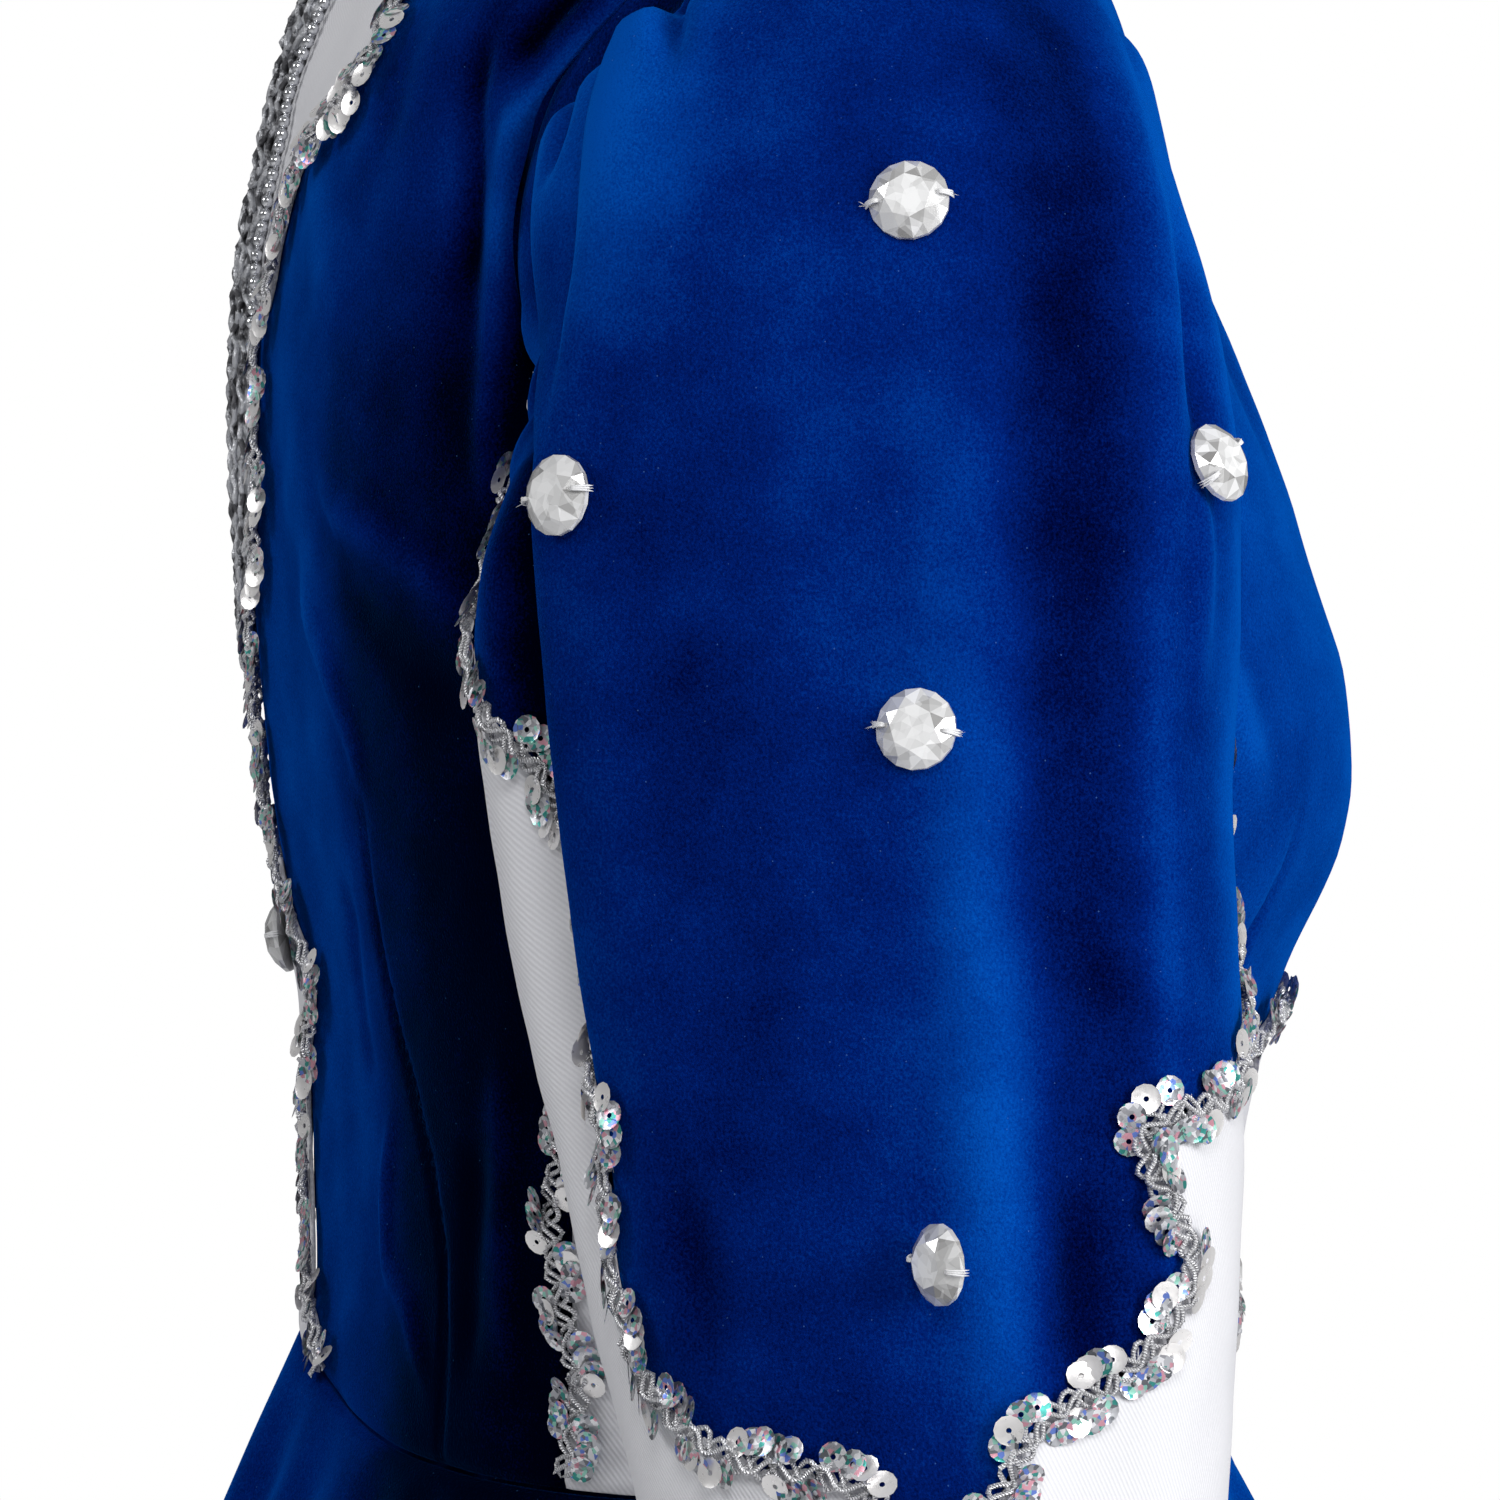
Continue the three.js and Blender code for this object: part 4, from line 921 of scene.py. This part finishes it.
def bodice_edges(ring):
    """Outer edge of the bodice front and of the bodice back by ring: the side seam, or the armhole
    where that comes before it."""
    lean = np.clip((ring - ARMHOLE["ring"]) / ARMHOLE["reach"], -1, 1)
    turn = np.arccos(lean)
    seams = side_seams(ring)
    spans = np.abs(ring - ARMHOLE["ring"]) < ARMHOLE["reach"]
    front = np.where(spans, np.minimum(armhole(turn)[0], seams[0]), seams[0])
    return front, np.where(spans, np.maximum(armhole(-turn)[0], seams[1]), seams[1])


def bodice_rings(count):
    """Rings from the waist to the neck, closer together where the armhole turns under and over."""
    low, high = ARMHOLE["ring"] - ARMHOLE["reach"], ARMHOLE["ring"] + ARMHOLE["reach"]
    turning = [edge + step for edge in (low, high) for step in (-0.02, 0.0, 0.02, 0.06, 0.12)]
    return np.unique(np.concatenate([edge_spaced(count, 400) * 14, np.clip(turning, 0, 14)]))


def make_bodice():
    seams = ("low_a", "high_a", "low_b", "high_b")
    rings = bodice_rings(135)[:, None]
    front, _ = bodice_edges(rings)
    across = (edge_spaced(150, 380) * 2 - 1)[None, :]
    cloth_piece("bodice_front", "velvet", bodice_cloth, front * across, rings, seams, bodice_relief)
    centre = math.pi - 0.1 / AROUND_MM
    rings = bodice_rings(115)[:, None]
    _, back = bodice_edges(rings)
    around = back + (centre - back) * edge_spaced(76, 190)[None, :]
    for side, flip in SIDES:
        node = f"bodice_back_{side}"
        cloth_piece(node, "velvet", bodice_cloth, around, rings, seams, bodice_relief, flip=flip)
    # Each column of a side panel ends where the armhole cuts it.
    share = edge_spaced(22, 90)[None, :]
    sample = np.linspace(6.5, 9.2, 271)[:, None]
    low, high = side_seams(sample)
    y = bodice_form(low + (high - low) * share, sample)[..., 1]
    lean = (sample - ARMHOLE["ring"]) / ARMHOLE["reach"]
    inside = ((y - ARMHOLE["middle"] - ARMHOLE["lean"] * lean) / ARMHOLE["half"]) ** 2 + lean**2 < 1
    top = sample[np.argmax(inside, axis=0), 0][None, :]
    rings = edge_spaced(90, 250)[:, None] * np.minimum(top, 8.4)
    low, high = side_seams(rings)
    for side, flip in SIDES:
        around = low + (high - low) * share
        cloth_piece(f"side_panel_{side}", "twill", bodice_cloth, around, rings, seams, flip=flip)


def make_skirt():
    """The skirt's front reaches a little past its side seams, so that no light shows through them."""
    rise = edge_spaced(80, 380)[:, None]
    seams = ("low_a", "high_a", "high_b")
    front = (edge_spaced(150, 700) * 2 - 1)[None, :] * (math.pi / 2 + 0.0012)
    left = math.pi / 2 + 0.0003 + edge_spaced(74, 350)[None, :] * (math.pi / 2 - 0.0006)
    for part, around in (("front", front), ("back_left", left), ("back_right", -left[:, ::-1])):
        cloth_piece(f"skirt_{part}", "velvet", skirt_cloth, around, rise, seams, fold_light, "hung")


def fold_light(around, rise):
    """Ridges of the skirt's folds, as heights for its painted light and shade."""
    return 3.0 * np.cos(fold_phase(around)) * (1 - rise)


def inside_line(u, v, line):
    """Whether each place lies inside a closed line: it crosses the line an odd number of times."""
    odd = np.zeros(u.shape, bool)
    for low, high in zip(line, np.roll(line, -1, axis=0)):
        spans = (low[1] > v) != (high[1] > v)
        at = low[0] + (v - low[1]) / (high[1] - low[1] if high[1] != low[1] else 1e-9) * (high[0] - low[0])
        odd ^= spans & (u < at)
    return odd


def sleeve_edge_line(steps):
    line = smooth_line(SLEEVE_EDGE, steps)
    line[:, 0] = np.radians(line[:, 0])
    return line


def sleeve_part(turns, rings, in_velvet):
    """The triangles of the sleeve on one side of its shaped edge. Points near the edge are moved onto
    it first, so that both cloths end on the same line."""
    flat_edge = sleeve_edge_line(6) * np.array([TURN_MM, SLEEVE_RING_MM])
    closed = np.vstack([flat_edge, [flat_edge[-1, 0], -40], [flat_edge[0, 0], -40]])
    u, v = (grid.ravel() for grid in np.meshgrid(turns * TURN_MM, rings * SLEEVE_RING_MM))
    columns = len(turns)
    gap, _, near_u, near_v = nearest_on(flat_edge, u, v)
    cell = 0.62 * min((turns[1] - turns[0]) * TURN_MM, 3.0)
    snap = (gap < cell) & (v > rings[0] * SLEEVE_RING_MM + 0.01)
    inside = inside_line(u, v, closed)
    u, v = np.where(snap, near_u, u), np.where(snap, near_v, v)
    level = np.where(snap, 0, np.where(inside, 1, -1))
    quads = grid_faces(len(rings), columns)
    corner = level[quads]
    crossed = np.minimum(corner[:, 1], corner[:, 3]) * np.maximum(corner[:, 0], corner[:, 2]) < 0
    odd_one = crossed | (corner[:, 0] * corner[:, 2] < 0)
    first = np.where(odd_one[:, None], quads[:, [0, 1, 3]], quads[:, [0, 1, 2]])
    second = np.where(odd_one[:, None], quads[:, [1, 2, 3]], quads[:, [0, 2, 3]])
    faces = np.vstack([first, second])
    middle_u, middle_v = u[faces].mean(axis=1), v[faces].mean(axis=1)
    kept = faces[inside_line(middle_u, middle_v, closed) == in_velvet]
    used, faces = np.unique(kept, return_inverse=True)
    return u[used] / TURN_MM, v[used] / SLEEVE_RING_MM, faces.reshape(-1, 3)


def make_sleeves():
    near_seam = [0.0, 0.04, 0.09, 0.15, 0.22]
    head = np.concatenate([near_seam, np.linspace(0.3, 3, 46), np.linspace(3.08, 11.4, 96)])
    turn, ring, faces = sleeve_part(np.radians(np.linspace(-130, 130, 186)), head, True)
    # Painted light and shade of the sleeve velvet: relief shading and painted strokes.
    pile_and_painted_shade = painted_relief_shade_and_patches(sleeve_cloth(turn, ring), sleeve_relief(turn, ring), SLEEVE_CONTRAST)
    pile_and_painted_shade = pile_and_painted_shade + strokes_of(SLEEVE_PAINTED_STROKES, np.degrees(turn), ring)
    add_sleeves("velvet", sleeve_cloth(turn, ring), faces, turn, ring, pile_and_painted_shade)
    upper, lower = np.linspace(0.22, 9.0, 76), np.linspace(9.1, 15.8, 90)
    rows = np.concatenate([[0.0, 0.05, 0.12], upper, lower, [15.87, 15.94, 16.0]])
    seam = np.radians([0.4, 1.0, 1.8])
    start, end = -math.pi + 0.003 + seam - seam[0], math.pi - 0.003 - (seam[::-1] - seam[0])
    turns = np.concatenate([start, np.linspace(-math.pi + 0.05, math.pi - 0.05, 150), end])
    turn, ring, faces = sleeve_part(turns, rows, False)
    points = sleeve_cloth(turn, ring)
    dip = bell((math.pi - np.abs(turn)) * 70, 1.4)[:, None]
    add_sleeves("twill", points - unit(points - sleeve_middle(ring)) * dip, faces, turn, ring)


def add_sleeves(slot, points, faces, turn, ring, pile_and_painted_shade=None):
    """One cloth of both sleeves. The map is laid straight, and a size large enough to hold the cloth's
    own area is worked out and handed to declare_sheet, which does nothing with it."""
    edges = np.cross(points[faces[:, 1]] - points[faces[:, 0]], points[faces[:, 2]] - points[faces[:, 0]])
    area = np.linalg.norm(edges, axis=1).sum() * 0.5e-6
    flat = np.stack([turn * TURN_MM * 1.15, ring * SLEEVE_RING_MM], axis=-1)
    width, length = np.ptp(flat[:, 0]) * 0.001, np.ptp(flat[:, 1]) * 0.001
    scale = math.sqrt(max(area / (width * length), 1.0)) * 1.02
    for side, flip in SIDES:
        piece = add_piece(f"sleeve_{side}_{slot}", "cloth", slot, points, faces, flat, flip=flip)
        if pile_and_painted_shade is not None:
            give_pile_and_painted_shade(piece, pile_and_painted_shade)
        give_wall(piece, CLOTH_WALL)
        declare_sheet(area, width * scale, length * scale)


def laid_piece(node, halves, at_back=False, flip=False, dip=0.0, spread=(-1, 1), count=40):
    """A piece laid on the bodice between its half-widths by ring; dip lowers the middle of its top."""
    table = smooth_line(halves, 4)
    share = np.linspace(*spread, count)[None, :]
    offset = np.maximum(table[:, 1:], 0.4) * share
    ring = table[:, :1] + 0 * share
    if dip:
        ring = ring - dip * bell(offset, 14) * step_between(ring, halves[0][0] - 1.4, halves[0][0])
    around = around_at(offset, ring, at_back)
    if at_back:
        around, ring = around[:, ::-1], ring[:, ::-1]
    grid = (bodice_cloth, around[::-1], ring[::-1])
    cloth_piece(node, "twill", *grid, flip=flip, wall=INSET_WALL, lift=LAYER + INSET_WALL)


def make_insets():
    laid_piece("chest_inset", CHEST_INSET, count=70)
    laid_piece("waist_inset", WAIST_INSET, dip=0.2)
    for side, flip in SIDES:
        laid_piece(f"back_inset_{side}", BACK_INSET, True, flip, spread=(0.02, 1), count=22)


# ---- Braid, beads and stones --------------------------------------------------------------------


def path_frame(surface, line, lift):
    """Places along a line on a surface, with the tangent, the normal and the sideways direction."""
    a, b = line[:, 0], line[:, 1]
    normal = grid_normals(surface, a, b)
    point = surface(a, b) + normal * lift
    tangent = unit(np.gradient(point, axis=0))
    side = unit(np.cross(normal, tangent))
    return point, tangent, side, np.cross(tangent, side)


def tube(path, radius, sides):
    """A round cord along a path: rings of points at right angles to it, joined by quads, with the
    ends drawn to a point."""
    off_path = np.array([0.31, 0.52, 0.79])
    tangent = unit(np.gradient(path, axis=0))
    first = unit(np.cross(tangent, off_path))
    second = np.cross(tangent, first)
    angle = np.linspace(0, 2 * math.pi, sides, endpoint=False)
    radii = np.full(len(path), float(radius))
    radii[[0, -1]] = radius * 0.1
    ring = first[:, None] * np.cos(angle)[None, :, None] + second[:, None] * np.sin(angle)[None, :, None]
    points = (path[:, None] + ring * radii[:, None, None]).reshape(-1, 3)
    uv = np.broadcast_arrays(lengths_along(path)[:, None], np.arange(sides)[None, :] / sides)
    return points, grid_faces(len(path), sides, closed=True), np.stack(uv, axis=-1).reshape(-1, 2)


def join(parts):
    """Several shapes as one: points, faces and maps in a row."""
    points, faces, maps = zip(*parts)
    starts = np.cumsum([0] + [len(shape) for shape in points[:-1]])
    return np.vstack(points), np.vstack([face + start for face, start in zip(faces, starts)]), np.vstack(maps)


def sequin_row(point, tangent, side, normal, at, rng):
    """Flat round sequins in overlapping threes on one side of the braid and then on the other. Each
    is a ring round its hole, a little cupped and tipped over the one before."""
    centres, axes = [], []
    length = at[-1]
    groups = int(length / (BRAID_PERIOD / 2))
    for group in range(groups + 1):
        sign = 1 if group % 2 else -1
        start = group * BRAID_PERIOD / 2 + rng.uniform(-0.8, 0.8)
        count = 4 if rng.random() < 0.7 else 5
        for k in range(count):
            ahead = start + k * SEQUIN_STEP + rng.uniform(-0.3, 0.3)
            out = 3.3 + 1.1 * math.sin(math.pi * (k + 0.5) / count) + rng.uniform(-0.5, 0.5)
            centres.append((ahead, sign * out, k))
            axes.append((sign * rng.uniform(0, 30), rng.uniform(-26, -4), rng.uniform(0, 360)))
    centres, axes = np.array(centres), np.radians(np.array(axes))
    keep = (centres[:, 0] > 1) & (centres[:, 0] < length - 1)
    centres, axes = centres[keep], axes[keep]

    def along(values):
        return np.stack([np.interp(centres[:, 0], at, values[:, k]) for k in range(3)], axis=-1)

    middle, forward, sideways, up = (along(values) for values in (point, tangent, side, normal))
    middle = middle + sideways * centres[:, 1:2] + up * (1.15 + 0.28 * centres[:, 2:3])
    tip, roll = axes[:, 0:1], axes[:, 1:2]
    axis_side = sideways * np.cos(tip) - up * np.sin(tip)
    axis_up = sideways * np.sin(tip) + up * np.cos(tip)
    axis_forward = forward * np.cos(roll) - axis_up * np.sin(roll)
    axis_up = forward * np.sin(roll) + axis_up * np.cos(roll)
    sides = 12
    angle = np.linspace(0, 2 * math.pi, sides, endpoint=False)
    rings = [(SEQUIN_HOLE, 0.0), (SEQUIN_RADIUS * 0.8, 0.03), (SEQUIN_RADIUS, 0.16)]
    round_line = np.stack([np.cos(angle), np.sin(angle)], axis=-1)
    shape = [np.column_stack([radius * round_line, np.full(sides, rise)]) for radius, rise in rings]
    shape = np.concatenate(shape)
    axes = np.stack([axis_forward, axis_side, axis_up], axis=1)
    points = middle[:, None] + np.einsum("sk,nkx->nsx", shape, axes)
    single = grid_faces(len(rings), sides, closed=True)[:, ::-1]
    count = len(centres)
    faces = (single[None] + (np.arange(count) * len(shape))[:, None, None]).reshape(-1, 4)
    uv = np.tile(shape[:, :2], (count, 1))
    shade = np.repeat(rng.random(count), len(single))
    return points.reshape(-1, 3), faces, uv, shade


def braid(stem, surface, line, lift, seed):
    """Sequin braid on both sides of the wearer: three metallic cords that weave across each other
    along the middle, and sequins on both sides of them."""
    rng = np.random.default_rng(seed)
    line, at = even_line(line, CORD_STEP, surface)
    point, tangent, side, normal = path_frame(surface, line, lift)
    cords = []
    for phase, reach, rise in CORDS:
        sway = reach * np.sin(2 * math.pi * at / CORD_WAVE + phase + 0.5 * np.sin(at / 17.0 + seed))
        height = rise + 0.45 * np.cos(4 * math.pi * at / CORD_WAVE + phase)
        cords.append(tube(point + side * sway[:, None] + normal * height[:, None], CORD_RADIUS, 5))
    sequins = sequin_row(point, tangent, side, normal, at, rng)
    for hand, flip in SIDES:
        add_piece(f"{stem}_{hand}", "cords", "braid", *join(cords), flip=flip)
        add_piece(f"{stem}_{hand}", "sequins", "sequins", *sequins, flip=flip)


def make_braids():
    def bodice_line(rows, at_back=False):
        table = smooth_line(rows, 6)
        return np.stack([around_at(table[:, 1], table[:, 0], at_back), table[:, 0]], axis=-1)

    braid("front_braid", bodice_cloth, bodice_line(FRONT_BRAID), LAYER_OVER_INSET, 31)
    back = [(ring, half + 5) for ring, half in BACK_INSET]
    braid("back_braid", bodice_cloth, bodice_line(back, True), LAYER_OVER_INSET, 37)
    rings = np.linspace(0.1, 6.9, 60)
    sway = np.radians(2.2) * np.sin(rings * 2.4)
    for index, (part, sign, seed) in enumerate((("front", 1, 41), ("back", -1, 43))):
        seam = side_seams(rings)[index] + sign * sway
        braid(f"side_braid_{part}", bodice_cloth, np.stack([seam, rings], axis=-1), LAYER, seed)
    edge = sleeve_edge_line(6)
    braid("sleeve_braid", sleeve_cloth, edge[edge[:, 1] > 0.3], LAYER, 47)


def ball(centre, radius, columns=10, rows=7):
    """A small round bead: rings of latitude that close in at both poles."""
    rise = np.linspace(-math.pi / 2 + 0.12, math.pi / 2 - 0.12, rows)
    angle = np.linspace(0, 2 * math.pi, columns, endpoint=False)
    across, up = np.cos(rise)[:, None], np.sin(rise)[:, None]
    ring = np.broadcast_arrays(across * np.cos(angle), across * np.sin(angle), up)
    points = centre + radius * np.stack(ring, axis=-1).reshape(-1, 3)
    return points, grid_faces(rows, columns, closed=True), np.zeros((rows * columns, 2))


def make_band():
    """The lace band with its woven silver cords, and a chain of round beads along each edge."""
    table = smooth_line(CENTRE_BAND, 30)
    rings, halves = table[:, :1], table[:, 1:]
    scallop = 0.9 * np.abs(np.sin(rings * RING_MM * math.pi / SCALLOP))
    offset = (halves - 1.0 + scallop) * np.linspace(-1, 1, 46)[None, :]
    offset, ring = offset[::-1], (rings + 0 * offset)[::-1]
    knots = np.sin(offset * 2 * math.pi / 9) * np.sin(ring * RING_MM * 2 * math.pi / 11)

    def lace_surface(a, b):
        point = bodice_cloth(a, b)
        return point + own_normals(point) * (0.8 * np.clip(knots, 0, 1))[..., None]

    grid = (lace_surface, around_at(offset, ring), ring)
    cloth_piece("centre_band", "lace", *grid, part="lace", wall=1.0, lift=LAYER_OVER_INSET + 0.9)
    cords = []
    for place, phase in ((-0.86, 0), (-0.55, 2), (-0.28, 1), (0, 3), (0.28, 1), (0.55, 2), (0.86, 0)):
        line = np.stack([around_at(place * table[:, 1], table[:, 0]), table[:, 0]], axis=-1)
        line, at = even_line(line, 1.0, bodice_cloth)
        point, _, side, normal = path_frame(bodice_cloth, line, LAYER_OVER_INSET + 1.9)
        narrow = np.interp(line[:, 1], [7.4, 8.8], [0.2, 1])
        sway = 3.1 * narrow * np.sin(2 * math.pi * at / BAND_CORD_WAVE + phase)
        cords.append(tube(point + side * sway[:, None] + normal * (0.3 * np.cos(at * 1.2))[:, None], 0.75, 5))
    add_piece("centre_band", "cords", "lace", *join(cords))
    edge = np.array([(around_at(half + 2.4, ring), ring) for ring, half in CENTRE_BAND[:4]], float)
    line, _ = even_line(smooth_line(edge, 8), BEAD_STEP, bodice_cloth)
    centres = path_frame(bodice_cloth, line, LAYER_OVER_INSET + BEAD_RADIUS)[0]
    beads = join([ball(centre, BEAD_RADIUS) for centre in centres] + [tube(centres, 0.35, 5)])
    for side, flip in SIDES:
        add_piece(f"bead_chain_{side}", "beads", "beads", *beads, flip=flip)


def stone_shape():
    """A round stone of kite, star and girdle facets: points on its rims and three-cornered faces."""

    def rim_of(radius, count, height, shift=0.0):
        angle = (np.arange(count) + shift) * 2 * math.pi / count
        return np.stack([radius * np.cos(angle), radius * np.sin(angle), np.full(count, height)], axis=-1)

    middles = [(0.0, 0.0, 3.9), (0.0, 0.0, 0.0)]
    points = np.vstack([
        rim_of(STONE_RADIUS, 16, 0.0), rim_of(STONE_RADIUS, 16, 1.0), rim_of(6.3, 8, 2.7, 0.5),
        rim_of(4.5, 8, 3.9), middles, rim_of(2.4, 8, 3.9, 0.5),
    ])
    base, girdle, mid, top, centre, under, inner = 0, 16, 32, 40, 48, 49, 50
    faces = []
    for k in range(16):
        n = (k + 1) % 16
        faces += [(base + k, base + n, girdle + n), (base + k, girdle + n, girdle + k)]
        faces += [(under, base + n, base + k)]
    for k in range(8):
        n, before = (k + 1) % 8, (k - 1) % 8
        rim = girdle + 2 * k
        faces += [(mid + k, rim, rim + 1), (mid + k, rim + 1, girdle + (2 * k + 2) % 16)]
        faces += [(mid + k, top + n, top + k), (top + k, mid + before, rim), (top + k, rim, mid + k)]
        faces += [(top + k, top + n, inner + k), (inner + k, top + n, inner + n)]
        faces += [(centre, inner + k, inner + n)]
    return points, np.array(faces)


STONE_POINTS, STONE_FACES = stone_shape()

# The face of each facet beyond the girdle repeats by eight; these start the table's, which gets a brighter
# painted reflection.
GIRDLE_FACES, FACETS = 48, 8
TABLE_PAINTED_GLINTS = ((5, 0.85), (6, 0.9), (7, 0.95))

# A thread's way out of the hole, over the rim and into the cloth, and how far its strands part.
THREAD_PATH = np.array([
    (5.4, 0, 2.6), (6.0, 0, 3.25), (6.9, 0, 3.15), (7.8, 0, 2.2), (8.5, 0, 0.9), (8.7, 0, -0.5),
])
THREAD_SPREAD = np.linspace(0.4, 1.6, 6)


def stone_at(node, surface, a, b, lift, roll, seed, flip=False, swing=0.0, nod=0.0):
    """A faceted stone on the cloth, sewn down through a hole on each side with white thread."""
    rng = np.random.default_rng(seed)
    a, b = np.array([a]), np.array([b])
    up = grid_normals(surface, a, b)[0]
    place = surface(a, b)[0] + up * lift
    level = unit(np.cross(np.array([0.0, 0.0, 1.0]), up))
    rise = np.cross(up, level)
    swing, nod, turn = math.radians(swing), math.radians(nod), math.radians(roll)
    up, level = up * math.cos(swing) - level * math.sin(swing), level * math.cos(swing) + up * math.sin(swing)
    up, rise = up * math.cos(nod) - rise * math.sin(nod), rise * math.cos(nod) + up * math.sin(nod)
    first = level * math.cos(turn) + rise * math.sin(turn)
    axes = np.stack([first, np.cross(up, first), up])
    # Each facet's shade is a painted reflection, brighter on the table.
    shade = np.clip(rng.normal(0.5, 0.22, len(STONE_FACES)), 0.1, 1)
    for start, middle in TABLE_PAINTED_GLINTS:
        shade[GIRDLE_FACES + start :: FACETS] = np.clip(rng.normal(middle, 0.12, FACETS), 0, 1)
    threads = []
    for sign in (-1, 1):
        for spread in (-0.35, 0.0, 0.35):
            strand = THREAD_PATH * np.array([sign, 1, 1])
            strand[:, 1] += spread * THREAD_SPREAD
            threads.append(tube(place + strand @ axes, 0.24, 5))
        start = np.array([sign * 8.3, 0.0, 0.8])
        for tip in rng.uniform(-1, 1, (5, 3)) * np.array([0.6, 0.8, 0.5]):
            middle, end = tip * 0.6 + (sign * 0.5, 0, 0.1), tip * 1.3 + (sign * 0.9, 0, 0.3)
            threads.append(tube(place + np.stack([start, start + middle, start + end]) @ axes, 0.07, 4))
    flat = np.zeros((len(STONE_POINTS), 2))
    stone = (place + STONE_POINTS @ axes, STONE_FACES, flat, shade)
    piece = add_piece(node, "sewn_stone", "crystal", *stone, flip=flip)
    piece.data.polygons.foreach_set("use_smooth", np.zeros(len(STONE_FACES), bool))
    add_piece(node, "sewn_thread", "thread", *join(threads), flip=flip)


def make_stones():
    for index, (turn, ring, lift, roll, swing, nod) in enumerate(SLEEVE_STONES, start=1):
        for side, flip in SIDES:
            place = (sleeve_cloth, math.radians(turn), ring, lift, roll)
            stone_at(f"sleeve_stone_{side}_{index}", *place, 60 + index, flip, swing, nod)
    lift = LAYER + INSET_WALL + 0.6
    stone_at("waist_stone", bodice_cloth, 0.0, 3.9, lift, 5, 71)
    stone_at("back_stone", bodice_cloth, float(around_at(16.0, 1.3, True)), 1.3, lift, 4, 73)


# ---- Camera, light and floor --------------------------------------------------------------------


# The lens in millimetres: its sensor, its distance from the middle plane, and the pixels there.
SENSOR = 36.0
CAMERA_REACH = 2100.0
PICTURE_SIDE = 1500
MM_PER_PIXEL = 0.225
CAMERA_HEIGHT = -0.197


def make_camera():
    """A long lens level with the upper arm that looks along -X at the wearer's left side."""
    lens = bpy.data.cameras.new("side_view")
    lens.sensor_width = SENSOR
    lens.lens = SENSOR * CAMERA_REACH / (PICTURE_SIDE * MM_PER_PIXEL)
    camera = bpy.data.objects.new("side_view", lens)
    camera.location = (CAMERA_REACH * 0.001, 0.0, CAMERA_HEIGHT)
    camera.rotation_euler = (math.pi / 2, 0.0, math.pi / 2)
    bpy.context.collection.objects.link(camera)
    bpy.context.scene.camera = camera


def soft_light(name, place, aim, size, power):
    light = bpy.data.lights.new(name, "AREA")
    light.shape = "RECTANGLE"
    light.size, light.size_y = size
    light.energy = power
    lamp = bpy.data.objects.new(name, light)
    bpy.context.collection.objects.link(lamp)
    away = np.array(place, float) - np.array(aim, float)
    flat = math.hypot(away[0], away[1])
    lamp.location = place
    lamp.rotation_euler = (math.atan2(flat, away[2]), 0.0, math.atan2(away[0], -away[1]))


def make_studio():
    """A pale floor, a pale room that is brighter above, and soft lights on both sides of the lens."""
    floor = Finish("floor")
    tone = floor.mix(floor.noise(3.0, 2.0), colour(0.86, 0.86, 0.865), colour(0.9, 0.9, 0.905))
    surface = floor.surface(Base_Color=tone, Roughness=0.8, Specular_IOR_Level=0.2)
    corners = np.array([(-1, -1, 0), (1, -1, 0), (1, 1, 0), (-1, 1, 0)]) * FLOOR_REACH + (0, 0, FLOOR_Z)
    make_mesh("floor", corners, [(0, 1, 2, 3)], surface)
    room = Finish("room", world=True)
    bpy.context.scene.world = room.owner
    place = room.node("ShaderNodeTexCoord", out="Generated")
    upward = room.node("ShaderNodeSeparateXYZ", {}, {0: place}, out=2)
    height = room.node("ShaderNodeMapRange", {}, {"Value": upward, "From Min": -1.0})
    tone = room.ramp(height, ((0.0, (0.16, 0.16, 0.165)), (1.0, (0.60, 0.61, 0.63))))
    around = room.node("ShaderNodeBackground", {}, {"Color": tone, "Strength": 0.45})
    seen = room.node("ShaderNodeBackground", {}, {"Color": colour(1, 1, 1), "Strength": 1.0})
    is_seen = room.node("ShaderNodeLightPath", out="Is Camera Ray")
    room.end("ShaderNodeOutputWorld", room.node("ShaderNodeMixShader", {}, {0: is_seen, 1: around, 2: seen}))
    soft_light("key", (1.6, 1.9, 0.3), (0.2, 0, -0.3), (0.9, 1.6), 48)
    soft_light("fill", (0.5, -2.2, 0.9), (0.1, 0, -0.1), (0.9, 0.9), 17)
    soft_light("lens", (2.2, 0.2, 0.9), (0.2, 0, -0.2), (0.8, 0.8), 18)
    bpy.context.scene.view_settings.view_transform = "Standard"


make_camera()
make_bodice()
make_skirt()
make_sleeves()
make_insets()
make_braids()
make_band()
make_stones()
make_studio()
